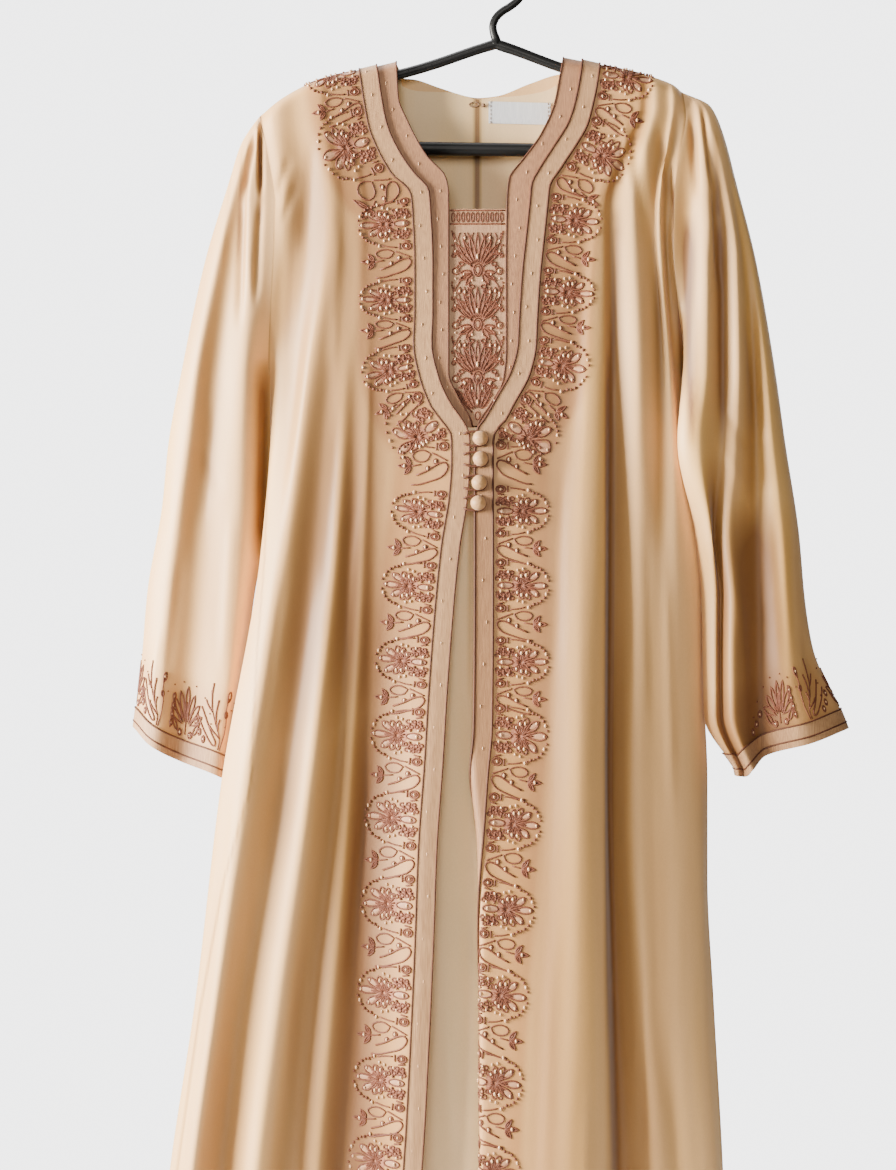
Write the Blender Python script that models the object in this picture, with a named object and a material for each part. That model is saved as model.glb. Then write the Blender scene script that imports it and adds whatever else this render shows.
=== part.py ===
"""Moroccan kaftan (takchita) on a plastic hanger.

An embroidered outer robe hangs open over a plain sleeveless inner dress.
Sizes are in millimetres and become metres when a mesh is made.  "Drop" is the
height below the inside top of the hook, "across" runs to the wearer's left
(+X) and "depth" runs from the front (-Y) to the back (+Y).  Every cloth piece
is a wall through cross-sections: a section is a smooth curve through the fold
lines of its table, and each fold line runs smoothly down the garment.
"""
import math

import bmesh
import bpy
import numpy as np

MM = 0.001

# ---------------------------------------------------------------- driving sizes
ROBE_WALL = 1.2            # satin crepe with its interlining
DRESS_WALL = 1.0
STRIP_WALL = 1.0           # the sewn-on bands
SEAM = 0.3                 # clearance between neighbouring pieces
FRONT_BAND = 17.0          # width of the robe's front band
CUFF_BAND = 16.0
UNDERARM = 398.0           # drop of both underarm points
ROBE_HEM = 1516.0
DRESS_HEM = 1496.0
SHOULDER_ROLL = 14.0       # the cloth rounds over the hanger within this drop
ARMHOLE_DEPTH = 22.0       # half the armhole's size from front to back
DRESS_ARMHOLE_DEPTH = 8.5
DRESS_INSET = 14.0         # the inner dress is this much narrower on each side
DRESS_LAYER = 1.7          # the inner dress lies this far inside the robe
ROLL_RADIUS = 5.0          # the left front edge rolls under on this radius
ROLL_ZONE = 22.0           # cloth beside the band that the roll reaches

FRONT, BACK = -1, 1        # sign of the depth
RIGHT, LEFT = -1, 1        # the wearer's sides, as the sign of across

# ------------------------------------------------------------- lines of the cut
# (across, drop) of the shoulder line, from the right tip over the neck to the left tip
SHOULDER = ((-229, 153), (-206, 135), (-184, 123), (-161, 115), (-131, 108), (-98, 100),
            (-55, 89), (-18, 84), (22, 89), (65, 96), (98, 103), (152, 116), (168, 122),
            (179, 130))
# (across, drop) of the back necklines
ROBE_BACK_NECK = ((-117, 100), (-112.5, 107.5), (-109, 112.5), (-83, 113.5), (-55, 122), (-29, 130), (-19, 131.5),
                  (-1, 130), (32, 118), (61, 109), (75, 108), (78.5, 103), (82, 96))
DRESS_BACK_NECK = ((-97, 98), (-94.5, 105.5), (-92, 121), (-74, 126), (-45, 127), (-29, 131),
                   (-19, 134), (-3, 132), (14, 131), (42, 127), (60, 118), (62, 102), (64, 93))
# (drop, across) of the armhole seam and, below the underarm, of the side seam
SEAM_RIGHT = ((153, -229), (164, -226), (193, -220), (221, -215), (236, -213), (281, -214),
              (333, -217), (398, -220), (465, -219), (580, -221), (667, -227), (793, -232),
              (884, -258), (1006, -281), (1169, -304), (1544, -344))
SEAM_LEFT = ((130, 179), (154, 181), (194, 174), (229, 169), (276, 168), (330, 172),
             (398, 181), (465, 184), (523, 190), (580, 199), (687, 199), (793, 203),
             (884, 203), (1006, 209), (1169, 218), (1544, 231))
# (drop, across) of the robe's front edges, from the neck point to the hem
EDGE_RIGHT = ((104, -116), (139, -111), (164, -106), (191, -94), (213, -79), (228, -66),
              (250, -64), (299, -62), (348, -62), (375, -63), (409, -56), (433, -45),
              (450, -33), (464, -27), (489, -27), (520, -29), (572, -37), (633, -43),
              (715, -49), (767, -52), (853, -58), (938, -61), (1107, -69), (1154, -72),
              (1519, -94))
EDGE_LEFT = ((99, 82), (130, 77), (160, 69), (184, 55), (206, 41), (224, 32), (236, 31),
             (264, 28), (311, 23), (357, 20), (377, 19), (401, 13), (427, -1), (448, -13),
             (460, -21), (489, -22), (613, -22), (735, -23), (783, -27), (853, -32),
             (904, -36), (983, -42), (1065, -47), (1154, -50), (1519, -50))
# (drop, across) of the fold on which the left front edge rolls under
ROLL_EDGE = ((700, -33), (790, -25), (860, -18.5), (930, -18), (1519, -18))
# (drop, across) of the inner dress's neck edge; both sides end in the V
NECK_RIGHT = ((101, -97), (139, -95), (157, -88), (176, -79), (196, -67), (215, -50),
              (231, -47), (299, -47), (404, -47), (426, -38), (455, -24), (520, -26),
              (1530, -30))
NECK_LEFT = ((97, 64), (117, 60), (143, 55), (175, 41), (200, 23), (217, 11), (241, 9),
             (311, 8), (381, 8), (411, 5), (432, -6), (455, -19), (520, -16), (1530, -12))
V_DROP = 455.0             # bottom of the inner dress's V
PLASTRON_TOP = 246.0

# ------------------------------------------------------------------- fold tables
# A row per fold line: its name, its across and its depth at each of these drops
FOLD_DROPS = (150, 250, 400, 580, 790, 1000, 1160, 1530)
ROBE_FRONT_RIGHT = (
    ("side turn", (-216, -203, -211, -226, -262, -287, -311, -350),
     (-13, -23, -12, -28, -34, -36, -36, -36)),
    ("arm hollow", (-193, -183, -192, -215, -251, -277, -300, -338),
     (-13, -19, -22, -42, -50, -52, -55, -58)),
    ("side ridge", (-170, -159, -180, -202, -235, -265, -286, -320),
     (-17, -29, -38, -48, -60, -64, -68, -74)),
    ("side hollow", (-162, -145, -159, -176, -203, -241, -262, -298),
     (-16, -27, -35, -38, -42, -42, -42, -42)),
    ("hip ridge", (-156, -136, -145, -155, -177, -207, -227, -261),
     (-16, -27, -36, -45, -58, -62, -68, -74)),
    ("hip hollow", (-150, -129, -134, -139, -155, -178, -195, -223),
     (-16, -27, -35, -38, -41, -41, -42, -42)),
    ("thigh ridge", (-145, -123, -123, -129, -140, -158, -171, -193),
     (-16, -26, -35, -40, -42, -47, -50, -54)),
    ("front hollow", (-140, -115, -116, -116, -125, -136, -150, -166),
     (-16, -26, -34, -37, -34, -36, -37, -40)),
)
ROBE_FRONT_LEFT = (
    ("side turn", (173, 161, 170, 188, 192, 196, 206, 219),
     (-13, -18, -14, -16, -18, -20, -22, -24)),
    ("side ridge", (168, 154, 164, 172, 173, 177, 187, 196),
     (-15, -25, -26, -27, -28, -30, -30, -34)),
    ("side hollow", (163, 150, 155, 156, 149, 153, 168, 172),
     (-14, -20, -24, -30, -34, -36, -34, -36)),
    ("hip ridge", (151, 129, 133, 133, 127, 136, 148, 148),
     (-17, -29, -37, -37, -38, -40, -40, -46)),
    ("deep hollow", (142, 108, 109, 108, 107, 113, 118, 121),
     (-15, -22, -26, -25, -22, -22, -26, -28)),
    ("fold edge", (136, 101, 100, 99, 98, 99, 100, 98),
     (-16, -26, -36, -48, -53, -57, -59, -63)),
    ("fold ridge", (130, 94, 86, 79, 76, 74, 68, 61),
     (-16, -27, -39, -55, -65, -69, -73, -79)),
    ("front rise", (125, 86, 74, 52, 46, 38, 30, 24),
     (-16, -26, -35, -48, -56, -62, -66, -72)),
)
# depth of the front bands at the fold drops, right and left
BAND_DEPTH_RIGHT = (-16, -26, -35, -46, -54, -59, -61, -64)
BAND_DEPTH_LEFT = (-16, -26, -35, -45, -53, -58, -62, -66)
ROBE_BACK = (
    ("right turn", (-220, -207, -214, -211, -219, -260, -282, -319),
     (12, 16, 14, 18, 20, 24, 26, 28)),
    ("right ridge", (-191, -186, -192, -187, -194, -226, -244, -275),
     (14, 24, 32, 40, 50, 58, 64, 74)),
    ("right hollow", (-154, -151, -151, -148, -151, -171, -183, -203),
     (14, 24, 29, 34, 36, 40, 44, 50)),
    ("band right", (-133, -130, -130, -128, -129, -144, -153, -169),
     (15, 24.5, 31, 38, 44, 50, 54, 62)),
    ("neck right", (-116, -109, -109, -106, -107, -117, -123, -135),
     (15, 25, 34, 44, 54, 62, 68, 80)),
    ("neck curve right", (-109, -102, -102, -99, -100, -109, -114, -125),
     (14, 25, 34, 43.5, 53, 61, 67, 78)),
    ("mid right", (-67, -65, -65, -65, -65, -69, -71, -75),
     (15, 26, 31, 36, 38, 42, 46, 52)),
    ("centre", (-18, -19, -19, -19, -19, -18, -18, -17),
     (16, 27, 34, 44, 54, 64, 70, 80)),
    ("mid left", (32, 29, 27, 27, 27, 32, 34, 39),
     (15, 26, 31, 36, 40, 44, 48, 54)),
    ("neck curve left", (75, 67, 65, 64, 64, 71, 77, 92),
     (14, 25, 34, 42.5, 52, 61, 67, 76)),
    ("neck left", (82, 74, 72, 71, 71, 78, 84, 100),
     (14, 25, 34, 43, 53, 62, 68, 78)),
    ("band left", (99, 92, 92, 92, 93, 101, 108, 125),
     (14, 24.5, 31, 38, 44, 51, 56, 64)),
    ("left hollow", (118, 113, 113, 113, 116, 126, 134, 152),
     (14, 24, 29, 34, 37, 42, 46, 52)),
    ("left ridge", (150, 146, 150, 157, 162, 170, 179, 198),
     (14, 24, 31, 38, 46, 52, 56, 64)),
    ("left turn", (172, 159, 167, 188, 190, 196, 206, 219),
     (12, 16, 14, 16, 18, 20, 22, 26)),
)
DRESS_FRONT_RIGHT = (
    ("side panel", (-180, -172, -176, -184, -192, -225, -245, -278),
     (-10, -15, -17, -24, -26, -28, -30, -32)),
    ("front panel", (-135, -124, -124, -124, -136, -150, -162, -182),
     (-12, -22, -30, -31, -28, -30, -31, -33)),
)
DRESS_FRONT_LEFT = (
    ("front panel", (110, 100, 90, 84, 80, 80, 82, 84),
     (-11, -16, -18, -22, -22, -24, -26, -28)),
    ("side panel", (150, 138, 146, 152, 150, 156, 166, 172),
     (-10, -14, -17, -17, -15, -15, -18, -20)),
)
# depth of the inner dress at its neck band, then down the middle of its front
DRESS_BAND_DEPTH = (-13.5, -23.8, -32.6, -34, -37, -40, -42, -45)
DRESS_BACK_RIGHT = (
    ("side panel", (-182, -176, -180, -184, -194, -226, -244, -276),
     (10, 17, 21, 25, 27, 29, 31, 35)),
    ("neck point", (-97, -97, -97, -97, -98, -104, -110, -124),
     (9, 21, 24, 28, 31, 34, 36, 42)),
    ("neck curve", (-92, -92, -92, -92, -93, -99, -105, -118),
     (10.5, 21, 24, 28, 31, 34, 36, 42)),
    ("mid back", (-58, -58, -58, -58, -58, -60, -62, -66),
     (12, 22, 25, 27, 28, 30, 32, 36)),
)
DRESS_BACK_LEFT = (
    ("side panel", (148, 138, 146, 154, 156, 162, 172, 184),
     (10, 17, 21, 25, 27, 29, 31, 35)),
    ("neck point", (64, 64, 64, 64, 64, 68, 73, 84),
     (11.5, 21, 24, 28, 31, 34, 36, 42)),
    ("neck curve", (60, 60, 60, 60, 60, 64, 69, 79),
     (11.5, 21, 24, 28, 31, 34, 36, 42)),
    ("mid back", (22, 22, 22, 22, 22, 24, 26, 30),
     (12, 22, 25, 27, 28, 30, 32, 36)),
)
DRESS_CENTRE_DEPTH = (12, 22, 25.5, 29, 32, 35, 37, 42)
CENTRE_BACK = -19.0        # across of the inner dress's centre-back seam
SLEEVE_RIGHT_DROPS = (153, 165, 180, 215, 295, 398, 470, 530, 610, 680, 800)
SLEEVE_RIGHT_SEAM = (-229, -226, -223, -216, -214, -220, -229, -231, -236, -243, -263)
SLEEVE_RIGHT = (
    ("front ridge", (-229, -230, -231, -231, -234, -240, -243, -244, -247, -253, -268),
     (0, -9, -13, -19, -25, -26, -24, -24, -24, -25, -28)),
    ("front hollow", (-229, -233, -237, -243, -255, -271, -278, -285, -291, -296, -306),
     (0, -8, -10, -14, -17, -14, -13, -13, -14, -15, -16)),
    ("outer ridge", (-229, -235, -240, -250, -268, -288, -297, -305, -314, -320, -331),
     (0, -5, -8, -13, -20, -21, -21, -21, -22, -23, -26)),
    ("outer fold", (-229, -238, -247, -258, -282, -304, -317, -323, -337, -343, -358),
     (0, 0, 0, 0, 0, 0, 0, 0, 0, 0, 0)),
    ("rear outer", (-229, -235, -240, -249, -266, -286, -296, -304, -314, -321, -333),
     (0, 5, 8, 13, 19, 20, 20, 20, 21, 22, 24)),
    ("rear hollow", (-229, -232, -236, -241, -251, -264, -270, -275, -282, -288, -300),
     (0, 8, 10, 14, 15, 13, 12, 12, 13, 14, 15)),
    ("rear ridge", (-229, -230, -231, -231, -233, -238, -241, -243, -248, -255, -272),
     (0, 9, 13, 18, 23, 22, 20, 20, 21, 22, 24)),
)
SLEEVE_LEFT_DROPS = (130, 142, 167, 219, 295, 398, 469, 554, 620, 667, 729, 782)
SLEEVE_LEFT_SEAM = (179, 180, 180, 170, 169, 181, 191, 201, 203, 203, 202, 231)
SLEEVE_LEFT = (
    ("inner fold", (179, 185, 188, 184, 180, 183, 172, 195, 201, 201, 199, 229),
     (0, -7, -12, -18, -20, -24, -35, -16, -7, -6, -6, -6)),
    ("front ridge", (179, 190, 195, 196, 198, 197, 189, 202, 208, 208, 208, 230),
     (0, -9, -16, -25, -32, -36, -44, -34, -24, -22, -21, -20)),
    ("front hollow", (179, 194, 202, 208, 214, 214, 210, 206, 213, 213, 214, 235),
     (0, -9, -16, -20, -20, -22, -30, -22, -18, -16, -16, -16)),
    ("middle ridge", (179, 197, 206, 217, 227, 228, 226, 218, 223, 222, 223, 242),
     (0, -8.5, -15, -21, -27, -32, -34, -32, -30, -30, -29, -27)),
    ("middle hollow", (179, 199, 211, 223, 236, 245, 246, 247, 248, 249, 249, 257),
     (0, -7, -12, -16, -17, -17, -16, -16, -15, -14, -14, -14)),
    ("outer ridge", (179, 202, 214, 227.5, 244, 256, 262, 271, 274, 276, 288, 303),
     (0, -5, -8, -11, -15, -22, -24, -25, -26, -26, -25, -23)),
    ("outer fold", (179, 205, 217, 231, 250, 268, 278, 291, 297, 305, 333, 352),
     (0, 0, 0, 0, 0, 0, 0, 0, 0, 0, 0, 0)),
    ("rear outer", (179, 201, 212, 225, 240, 254, 262, 272, 277, 282, 300, 314),
     (0, 5, 8, 13, 19, 21, 21, 22, 22, 22, 22, 22)),
    ("rear hollow", (179, 196, 205, 213, 219, 228, 234, 240, 243, 245, 252, 268),
     (0, 7, 11, 14, 15, 14, 14, 14, 14, 14, 14, 14)),
    ("rear ridge", (179, 190, 193, 191, 192, 201, 209, 215, 218, 219, 222, 243),
     (0, 9, 14, 18, 22, 23, 22, 22, 22, 22, 22, 20)),
)
# (across, drop) of the slanting sleeve hems
CUFF_RIGHT = ((-360, 738), (-350, 741), (-333, 756), (-306, 772), (-269, 785), (-255, 794))
CUFF_LEFT = ((225, 786), (236, 788), (244, 779), (257, 768), (304, 754), (337, 743), (360, 738))

# ------------------------------------------------------------------ rows, columns
# drop of each upper row below the shoulder, as measured along the robe's front edge
UPPER_ROWS = (0, 2, 7, 18, 38, 62, 84, 102, 118, 142, 190, 248, 287)
FRONT_ROWS = (418, 436, 449, 462, 484, 520, 580, 650, 710, 750, 790, 825, 860, 895, 930, 1000,
              1080, 1200, 1330, ROBE_HEM)
BACK_ROWS = (450, 520, 600, 700, 800, 920, 1060, 1260, ROBE_HEM)
DRESS_ROWS = (418, 437, V_DROP, 490, 560, 700, 850, 1000, 1160, 1330, DRESS_HEM)
DRESS_BACK_ROWS = (450, 580, 740, 920, 1120, 1300, DRESS_HEM)
SLEEVE_ROWS = (440, 480, 520, 560, 610, 660, 706)
BAND_ROWS_AT_NECK = 3      # rows from the neckline to the far edge of the back neck band
# pieces between each two fold lines, from the side seam to the front edge
FRONT_RIGHT_SPLITS = (1, 2, 2, 2, 2, 2, 1, 1, 2, 2)
FRONT_LEFT_SPLITS = (1, 1, 1, 2, 2, 2, 2, 1, 2, 5, 4)
BACK_SPLITS = (1, 2, 2, 1, 1, 2, 1, 2, 2, 1, 2, 1, 1, 2, 2, 1)
BACK_NECK_COLUMNS = (7, 17)           # the neck points
BACK_BAND_COLUMNS = (6, 18)
DRESS_FRONT_SPLITS = (2, 2, 2, 1, 1, 1, 2, 2, 2)
DRESS_NECK_GAP = 7         # the column interval that the deep V leaves open
DRESS_BAND_COLUMNS = {-1: (6, 7), 1: (8, 9)}
DRESS_BACK_SPLITS = (1, 2, 2, 1, 2)
DRESS_BACK_NECK_COLUMN = 3            # column of the neck point
SLEEVE_RIGHT_SPLITS = (2, 2, 2, 2, 2, 2, 1, 2)
SLEEVE_LEFT_SPLITS = (1, 2, 1, 2, 2, 2, 2, 2, 1, 1, 2)

# ------------------------------------------------------------------- small pieces
BUTTON_RADIUS = 7.3
BUTTONS = ((-16.7, 466.3), (-16.7, 485.8), (-17.9, 508.2), (-18.8, 527.5))   # across, drop
LOOP_RADIUS = 6.7
LOOP_CORD = 1.1            # radius of the loops' cord
LOOP_END = -33.0           # across of the loops' ends, on the right front band
LABEL = (-8.0, 52.0, 136.0, 157.0)   # across from, to; drop from, to
LABEL_WALL = 0.6

# ------------------------------------------------------------------------- hanger
HOOK_BEND = 27.0           # centreline radius
HOOK_CORD = 3.8            # radius of the hook's rod
HOOK_NECK = ((0, 84), (0, 79), (-2.4, 71.4), (-2.9, 64.6), (0, 57.4), (5.8, 51.6))
HANGER_TILT = 0.014        # radians, the right arm hangs higher
# (across, drop, rod radius) from the middle of the arms round one end to the bar
HANGER_HALF = ((0, 83, 5.2), (20, 89.5, 4.7), (60.7, 104.1, 4.7), (94.5, 114.1, 4.7), (125, 120.2, 5),
               (154, 125.2, 5), (166, 130.6, 5), (173, 138, 5), (176, 145, 5), (175, 157, 5),
               (171, 168, 5), (163, 177.5, 5), (152, 183, 5), (138, 184.7, 5.5),
               (120, 184.7, 6.5))


# ------------------------------------------------------------------------ curves
def smooth(knots, values, at):
    """Value at a place on a curve through the knots that never overshoots them."""
    knots = np.asarray(knots, float)
    values = np.asarray(values, float)
    at = float(np.clip(at, knots[0], knots[-1]))
    step = np.diff(knots)
    slope = np.diff(values) / step
    place = min(int(np.searchsorted(knots, at, side="right")) - 1, len(step) - 1)

    def tangent(k):
        if k in (0, len(step)):
            return slope[0 if k == 0 else -1]
        before, after = slope[k - 1], slope[k]
        return 0.0 if before * after <= 0 else 2 * before * after / (before + after)

    s = (at - knots[place]) / step[place]
    rise = s * s * (3 - 2 * s)
    return ((1 - rise) * values[place] + rise * values[place + 1]
            + step[place] * s * (1 - s) * ((1 - s) * tangent(place) - s * tangent(place + 1)))


def line_at(line, at):
    """Second column of a two-column line where its first column is `at`."""
    return smooth([row[0] for row in line], [row[1] for row in line], at)


def through(points, splits):
    """Centripetal curve through (across, depth) points, split between each two."""
    points = np.asarray(points, float)
    gaps = np.sqrt(np.linalg.norm(np.diff(points, axis=0), axis=1)) + 1e-6
    knots = np.concatenate(([0.0], np.cumsum(gaps)))
    slopes = np.diff(points, axis=0) / gaps[:, None]
    inner = ((gaps[1:, None] * slopes[:-1] + gaps[:-1, None] * slopes[1:])
             / (gaps[1:] + gaps[:-1])[:, None])
    tangents = np.vstack((slopes[:1], inner, slopes[-1:]))
    out = [points[0]]
    for k, count in enumerate(splits):
        step = knots[k + 1] - knots[k]
        for part in range(1, count + 1):
            s = part / count
            rise = s * s * (3 - 2 * s)
            out.append((1 - rise) * points[k] + rise * points[k + 1] + step * s * (1 - s)
                       * ((1 - s) * tangents[k] - s * tangents[k + 1]))
    return np.array(out)


def shoulder(across):
    return line_at(SHOULDER, across)


def ease(value, start, end):
    s = min(max((value - start) / (end - start), 0.0), 1.0)
    return s * s * (3 - 2 * s)


def armhole_depth(drop, tip, size=ARMHOLE_DEPTH):
    """Half depth of the armhole loop, nought at the shoulder tip and the underarm."""
    around = min(max((drop - tip) / (UNDERARM - tip), 0.0), 1.0)
    return size * math.sin(math.pi * around) ** 0.6


def folds(table, drops, drop):
    """(across, depth) of each fold line of a table at a drop."""
    return [(smooth(drops, across, drop), smooth(drops, depth, drop))
            for _name, across, depth in table]


# ---------------------------------------------------------------------- sections
def band_width(edge, drop):
    """The band keeps its width square to its edge, so it is wider across a slant."""
    slant = (line_at(edge, drop + 10) - line_at(edge, drop - 10)) / 20
    return FRONT_BAND * min(math.hypot(1, slant), 1.3)


def robe_front_right(drop):
    """Side seam to front edge."""
    edge = line_at(EDGE_RIGHT, drop)
    width = band_width(EDGE_RIGHT, drop)
    depth = smooth(FOLD_DROPS, BAND_DEPTH_RIGHT, drop)
    return ([(line_at(SEAM_RIGHT, drop), -armhole_depth(drop, SEAM_RIGHT[0][0]))]
            + folds(ROBE_FRONT_RIGHT, FOLD_DROPS, drop)
            + [(edge - width, depth), (edge, depth)])


def robe_front_left(drop):
    """Side seam to front edge, before the edge rolls under."""
    edge = line_at(EDGE_LEFT, drop)
    width = band_width(EDGE_LEFT, drop)
    depth = smooth(FOLD_DROPS, BAND_DEPTH_LEFT, drop)
    return ([(line_at(SEAM_LEFT, drop), -armhole_depth(drop, SEAM_LEFT[0][0]))]
            + folds(ROBE_FRONT_LEFT, FOLD_DROPS, drop)
            + [(edge + width + ROLL_ZONE, depth), (edge + width, depth), (edge, depth)])


def roll_under(across, depth, drop):
    """Carry what lies past the roll edge round behind the front."""
    if drop <= ROLL_EDGE[0][0]:
        return across, depth
    past = line_at(ROLL_EDGE, drop) + ROLL_RADIUS - across
    turn = past / ROLL_RADIUS
    if turn <= 0:
        return across, depth
    axis = line_at(ROLL_EDGE, drop) + ROLL_RADIUS
    if turn < math.pi:
        return axis - ROLL_RADIUS * math.sin(turn), depth + ROLL_RADIUS * (1 - math.cos(turn))
    return axis + past - math.pi * ROLL_RADIUS, depth + 2 * ROLL_RADIUS


def robe_back(drop):
    """Right side seam to left side seam."""
    return ([(line_at(SEAM_RIGHT, drop), armhole_depth(drop, SEAM_RIGHT[0][0]))]
            + folds(ROBE_BACK, FOLD_DROPS, drop)
            + [(line_at(SEAM_LEFT, drop), armhole_depth(drop, SEAM_LEFT[0][0]))])


def dress_arm(drop):
    """Half depth of the inner dress's armhole, open at the shoulder and nought at the underarm."""
    down = min(drop / UNDERARM, 1.0)
    return DRESS_ARMHOLE_DEPTH * math.sqrt(1 - down ** 6)


def dress_side(seam, side, drop):
    """The inner dress's armhole edge and side seam, inside the robe's."""
    return line_at(seam, drop) - side * (DRESS_INSET + 6 * ease(drop, 850, 1200))


def dress_band_line(robe_edge, side, drop):
    """Outer line of the inner neck band, just past the robe's edge down to the V."""
    at_neck = line_at(robe_edge, drop) - side * 0.7
    return at_neck + (-20 + side * 26 - at_neck) * ease(drop, V_DROP - 8, V_DROP + 40)


def dress_front(drop):
    """Right side to neck edge, then left neck edge to left side."""
    depth = smooth(FOLD_DROPS, DRESS_BAND_DEPTH, drop)
    right = ([(dress_side(SEAM_RIGHT, RIGHT, drop), -dress_arm(drop))]
             + folds(DRESS_FRONT_RIGHT, FOLD_DROPS, drop)
             + [(dress_band_line(EDGE_RIGHT, RIGHT, drop), depth),
                (line_at(NECK_RIGHT, drop), depth)])
    left = ([(line_at(NECK_LEFT, drop), depth),
             (dress_band_line(EDGE_LEFT, LEFT, drop), depth)]
            + folds(DRESS_FRONT_LEFT, FOLD_DROPS, drop)
            + [(dress_side(SEAM_LEFT, LEFT, drop), -dress_arm(drop))])
    return right + left


def dress_back(table, seam, side):
    """Side to centre-back seam."""
    def section(drop):
        centre = (CENTRE_BACK + side * SEAM / 2, smooth(FOLD_DROPS, DRESS_CENTRE_DEPTH, drop))
        return ([(dress_side(seam, side, drop), dress_arm(drop))]
                + folds(table, FOLD_DROPS, drop) + [centre])
    return section


def sleeve(table, drops, inner_seam, armhole, tip):
    """Front seam round the outside to the back seam."""
    def section(drop):
        seam = smooth(drops, inner_seam, drop) if drop > UNDERARM else line_at(armhole, drop)
        arm = armhole_depth(drop, tip)
        return [(seam, -arm)] + folds(table, drops, drop) + [(seam, arm)]
    return section


# -------------------------------------------------------------------------- grids
def robe_top(across):
    return shoulder(across)


def robe_back_top(across):
    return max(shoulder(across), line_at(ROBE_BACK_NECK, across))


def dress_top(across):
    return shoulder(across) + DRESS_LAYER


def dress_back_top(across):
    return max(dress_top(across), line_at(DRESS_BACK_NECK, across))


def settle(section, splits, place, edge, guess):
    """Drop at which a column meets an edge that is given by its across."""
    for _ in range(6):
        guess = edge(through(section(guess), splits)[place][0])
    return guess


def body_grid(section, splits, facing, top, lower_rows, seams, layer=None, bend=None):
    """Points (row, column, xyz) of a front or back, as its outer side.

    Rows slope with the shoulder at the top and are level from the underarm down.
    `seams` gives, for each column on an armhole and side seam, the wearer's side.  The
    inner dress lies a `layer` inside the robe, and its armholes roll over the hanger too.
    """
    inside = layer or 0.0
    upper = np.array(UPPER_ROWS) / UPPER_ROWS[-1]
    points = np.zeros((len(upper) + len(lower_rows), sum(splits) + 1, 3))
    for c in range(points.shape[1]):
        first = settle(section, splits, c, top, 120.0)
        drops = list(first + upper * (UNDERARM - first)) + list(lower_rows)
        for r, drop in enumerate(drops):
            across, depth = through(section(drop), splits)[c]
            if bend:
                across, depth = bend(across, depth, drop)
            if layer or c not in seams:
                rise = (drop - shoulder(across) - inside) / (SHOULDER_ROLL - inside)
                depth *= math.sqrt(1 - (1 - min(max(rise, 0.0), 1.0)) ** 2)
            points[r, c] = across, facing * max(facing * depth, SEAM / 2), -drop
    for c, side in seams.items():
        points[:len(upper), c, 0] -= side * SEAM / 2
    return points


def sleeve_grid(section, splits, side, tip, cuff):
    """Points of a sleeve from its tip, where all columns meet, to its slanting hem."""
    upper = np.array(UPPER_ROWS[:1] + UPPER_ROWS[2:]) / UPPER_ROWS[-1]
    levels = (np.array(SLEEVE_ROWS) - UNDERARM) / (SLEEVE_ROWS[-1] - UNDERARM)
    points = np.zeros((len(upper) + len(levels) + 1, sum(splits) + 1, 3))
    for c in range(points.shape[1]):
        hem = settle(section, splits, c, cuff, 760.0)
        drops = (list(tip + upper * (UNDERARM - tip))
                 + list(UNDERARM + levels * (hem - CUFF_BAND - UNDERARM)) + [hem])
        for r, drop in enumerate(drops):
            across, depth = through(section(drop), splits)[c]
            points[r, c] = across, depth, -drop
    for c, facing in ((0, FRONT), (-1, BACK)):
        points[:, c, 1] = facing * np.maximum(facing * points[:, c, 1], SEAM / 2)
    points[:, :, 0] += side * SEAM
    points[0] = (points[0, 0, 0], 0.0, points[0, 0, 2])
    return points


def directions(points, axis):
    """Mean of the unit steps before and after each point of a grid, along an axis."""
    steps = np.diff(points, axis=axis)
    steps /= np.maximum(np.linalg.norm(steps, axis=2, keepdims=True), 1e-9)
    steps = np.moveaxis(steps, axis, 0)
    both = np.concatenate((steps[:1], steps[:-1] + steps[1:], steps[-1:]))
    return np.moveaxis(both, 0, axis)


def normals(points, facing):
    """Unit normals of a grid, turned so that its first half faces front or back."""
    normal = np.cross(directions(points, 1), directions(points, 0))
    normal /= np.maximum(np.linalg.norm(normal, axis=2, keepdims=True), 1e-9)
    half = normal.shape[1] // 2 + 1
    return normal * np.sign(facing * normal[:, :half, 1].sum())


def keep_off(normal, rows, column, axis, side):
    """Turn a seam's normals so that the wall's inner points don't cross the seam.

    `side` is the side of the seam, along the axis, on which the piece lies, and 0 keeps the
    inner points level with the outer ones.
    """
    part = normal[rows, column]
    part[..., axis] = side * np.minimum(side * part[..., axis], 0.0)
    part /= np.maximum(np.linalg.norm(part, axis=-1, keepdims=True), 1e-9)
    normal[rows, column] = part


def body_normals(points, facing, seams, neck=()):
    """Normals of a front or back, mitred at its shoulder, armhole and side seams.

    `neck` lists the columns whose top is a free neckline.
    """
    normal = normals(points, facing)
    underarm = len(UPPER_ROWS) - 1
    for c in range(points.shape[1]):
        if c not in neck:
            keep_off(normal, 0, c, 1, facing)
    for c, side in seams.items():
        keep_off(normal, slice(0, underarm), c, 0, -side)
        keep_off(normal, slice(underarm, None), c, 1, facing)
    return normal


def sleeve_normals(points, side):
    normal = normals(points, FRONT)
    underarm = len(UPPER_ROWS) - 2
    for c in (0, -1):
        keep_off(normal, slice(1, underarm), c, 0, side)
        keep_off(normal, slice(underarm, None), c, 1, 0)
    normal[0] = (-side * 0.6, 0.0, 1.6)
    return normal


# ------------------------------------------------------------------------- meshes
def material(name, colour, roughness=0.6):
    made = bpy.data.materials.new(name)
    made.use_nodes = True
    shader = made.node_tree.nodes["Principled BSDF"]
    shader.inputs["Base Color"].default_value = (*colour, 1.0)
    shader.inputs["Roughness"].default_value = roughness
    shader.inputs["Metallic"].default_value = 0.0
    made.diffuse_color = (*colour, 1.0)
    return made


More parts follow.
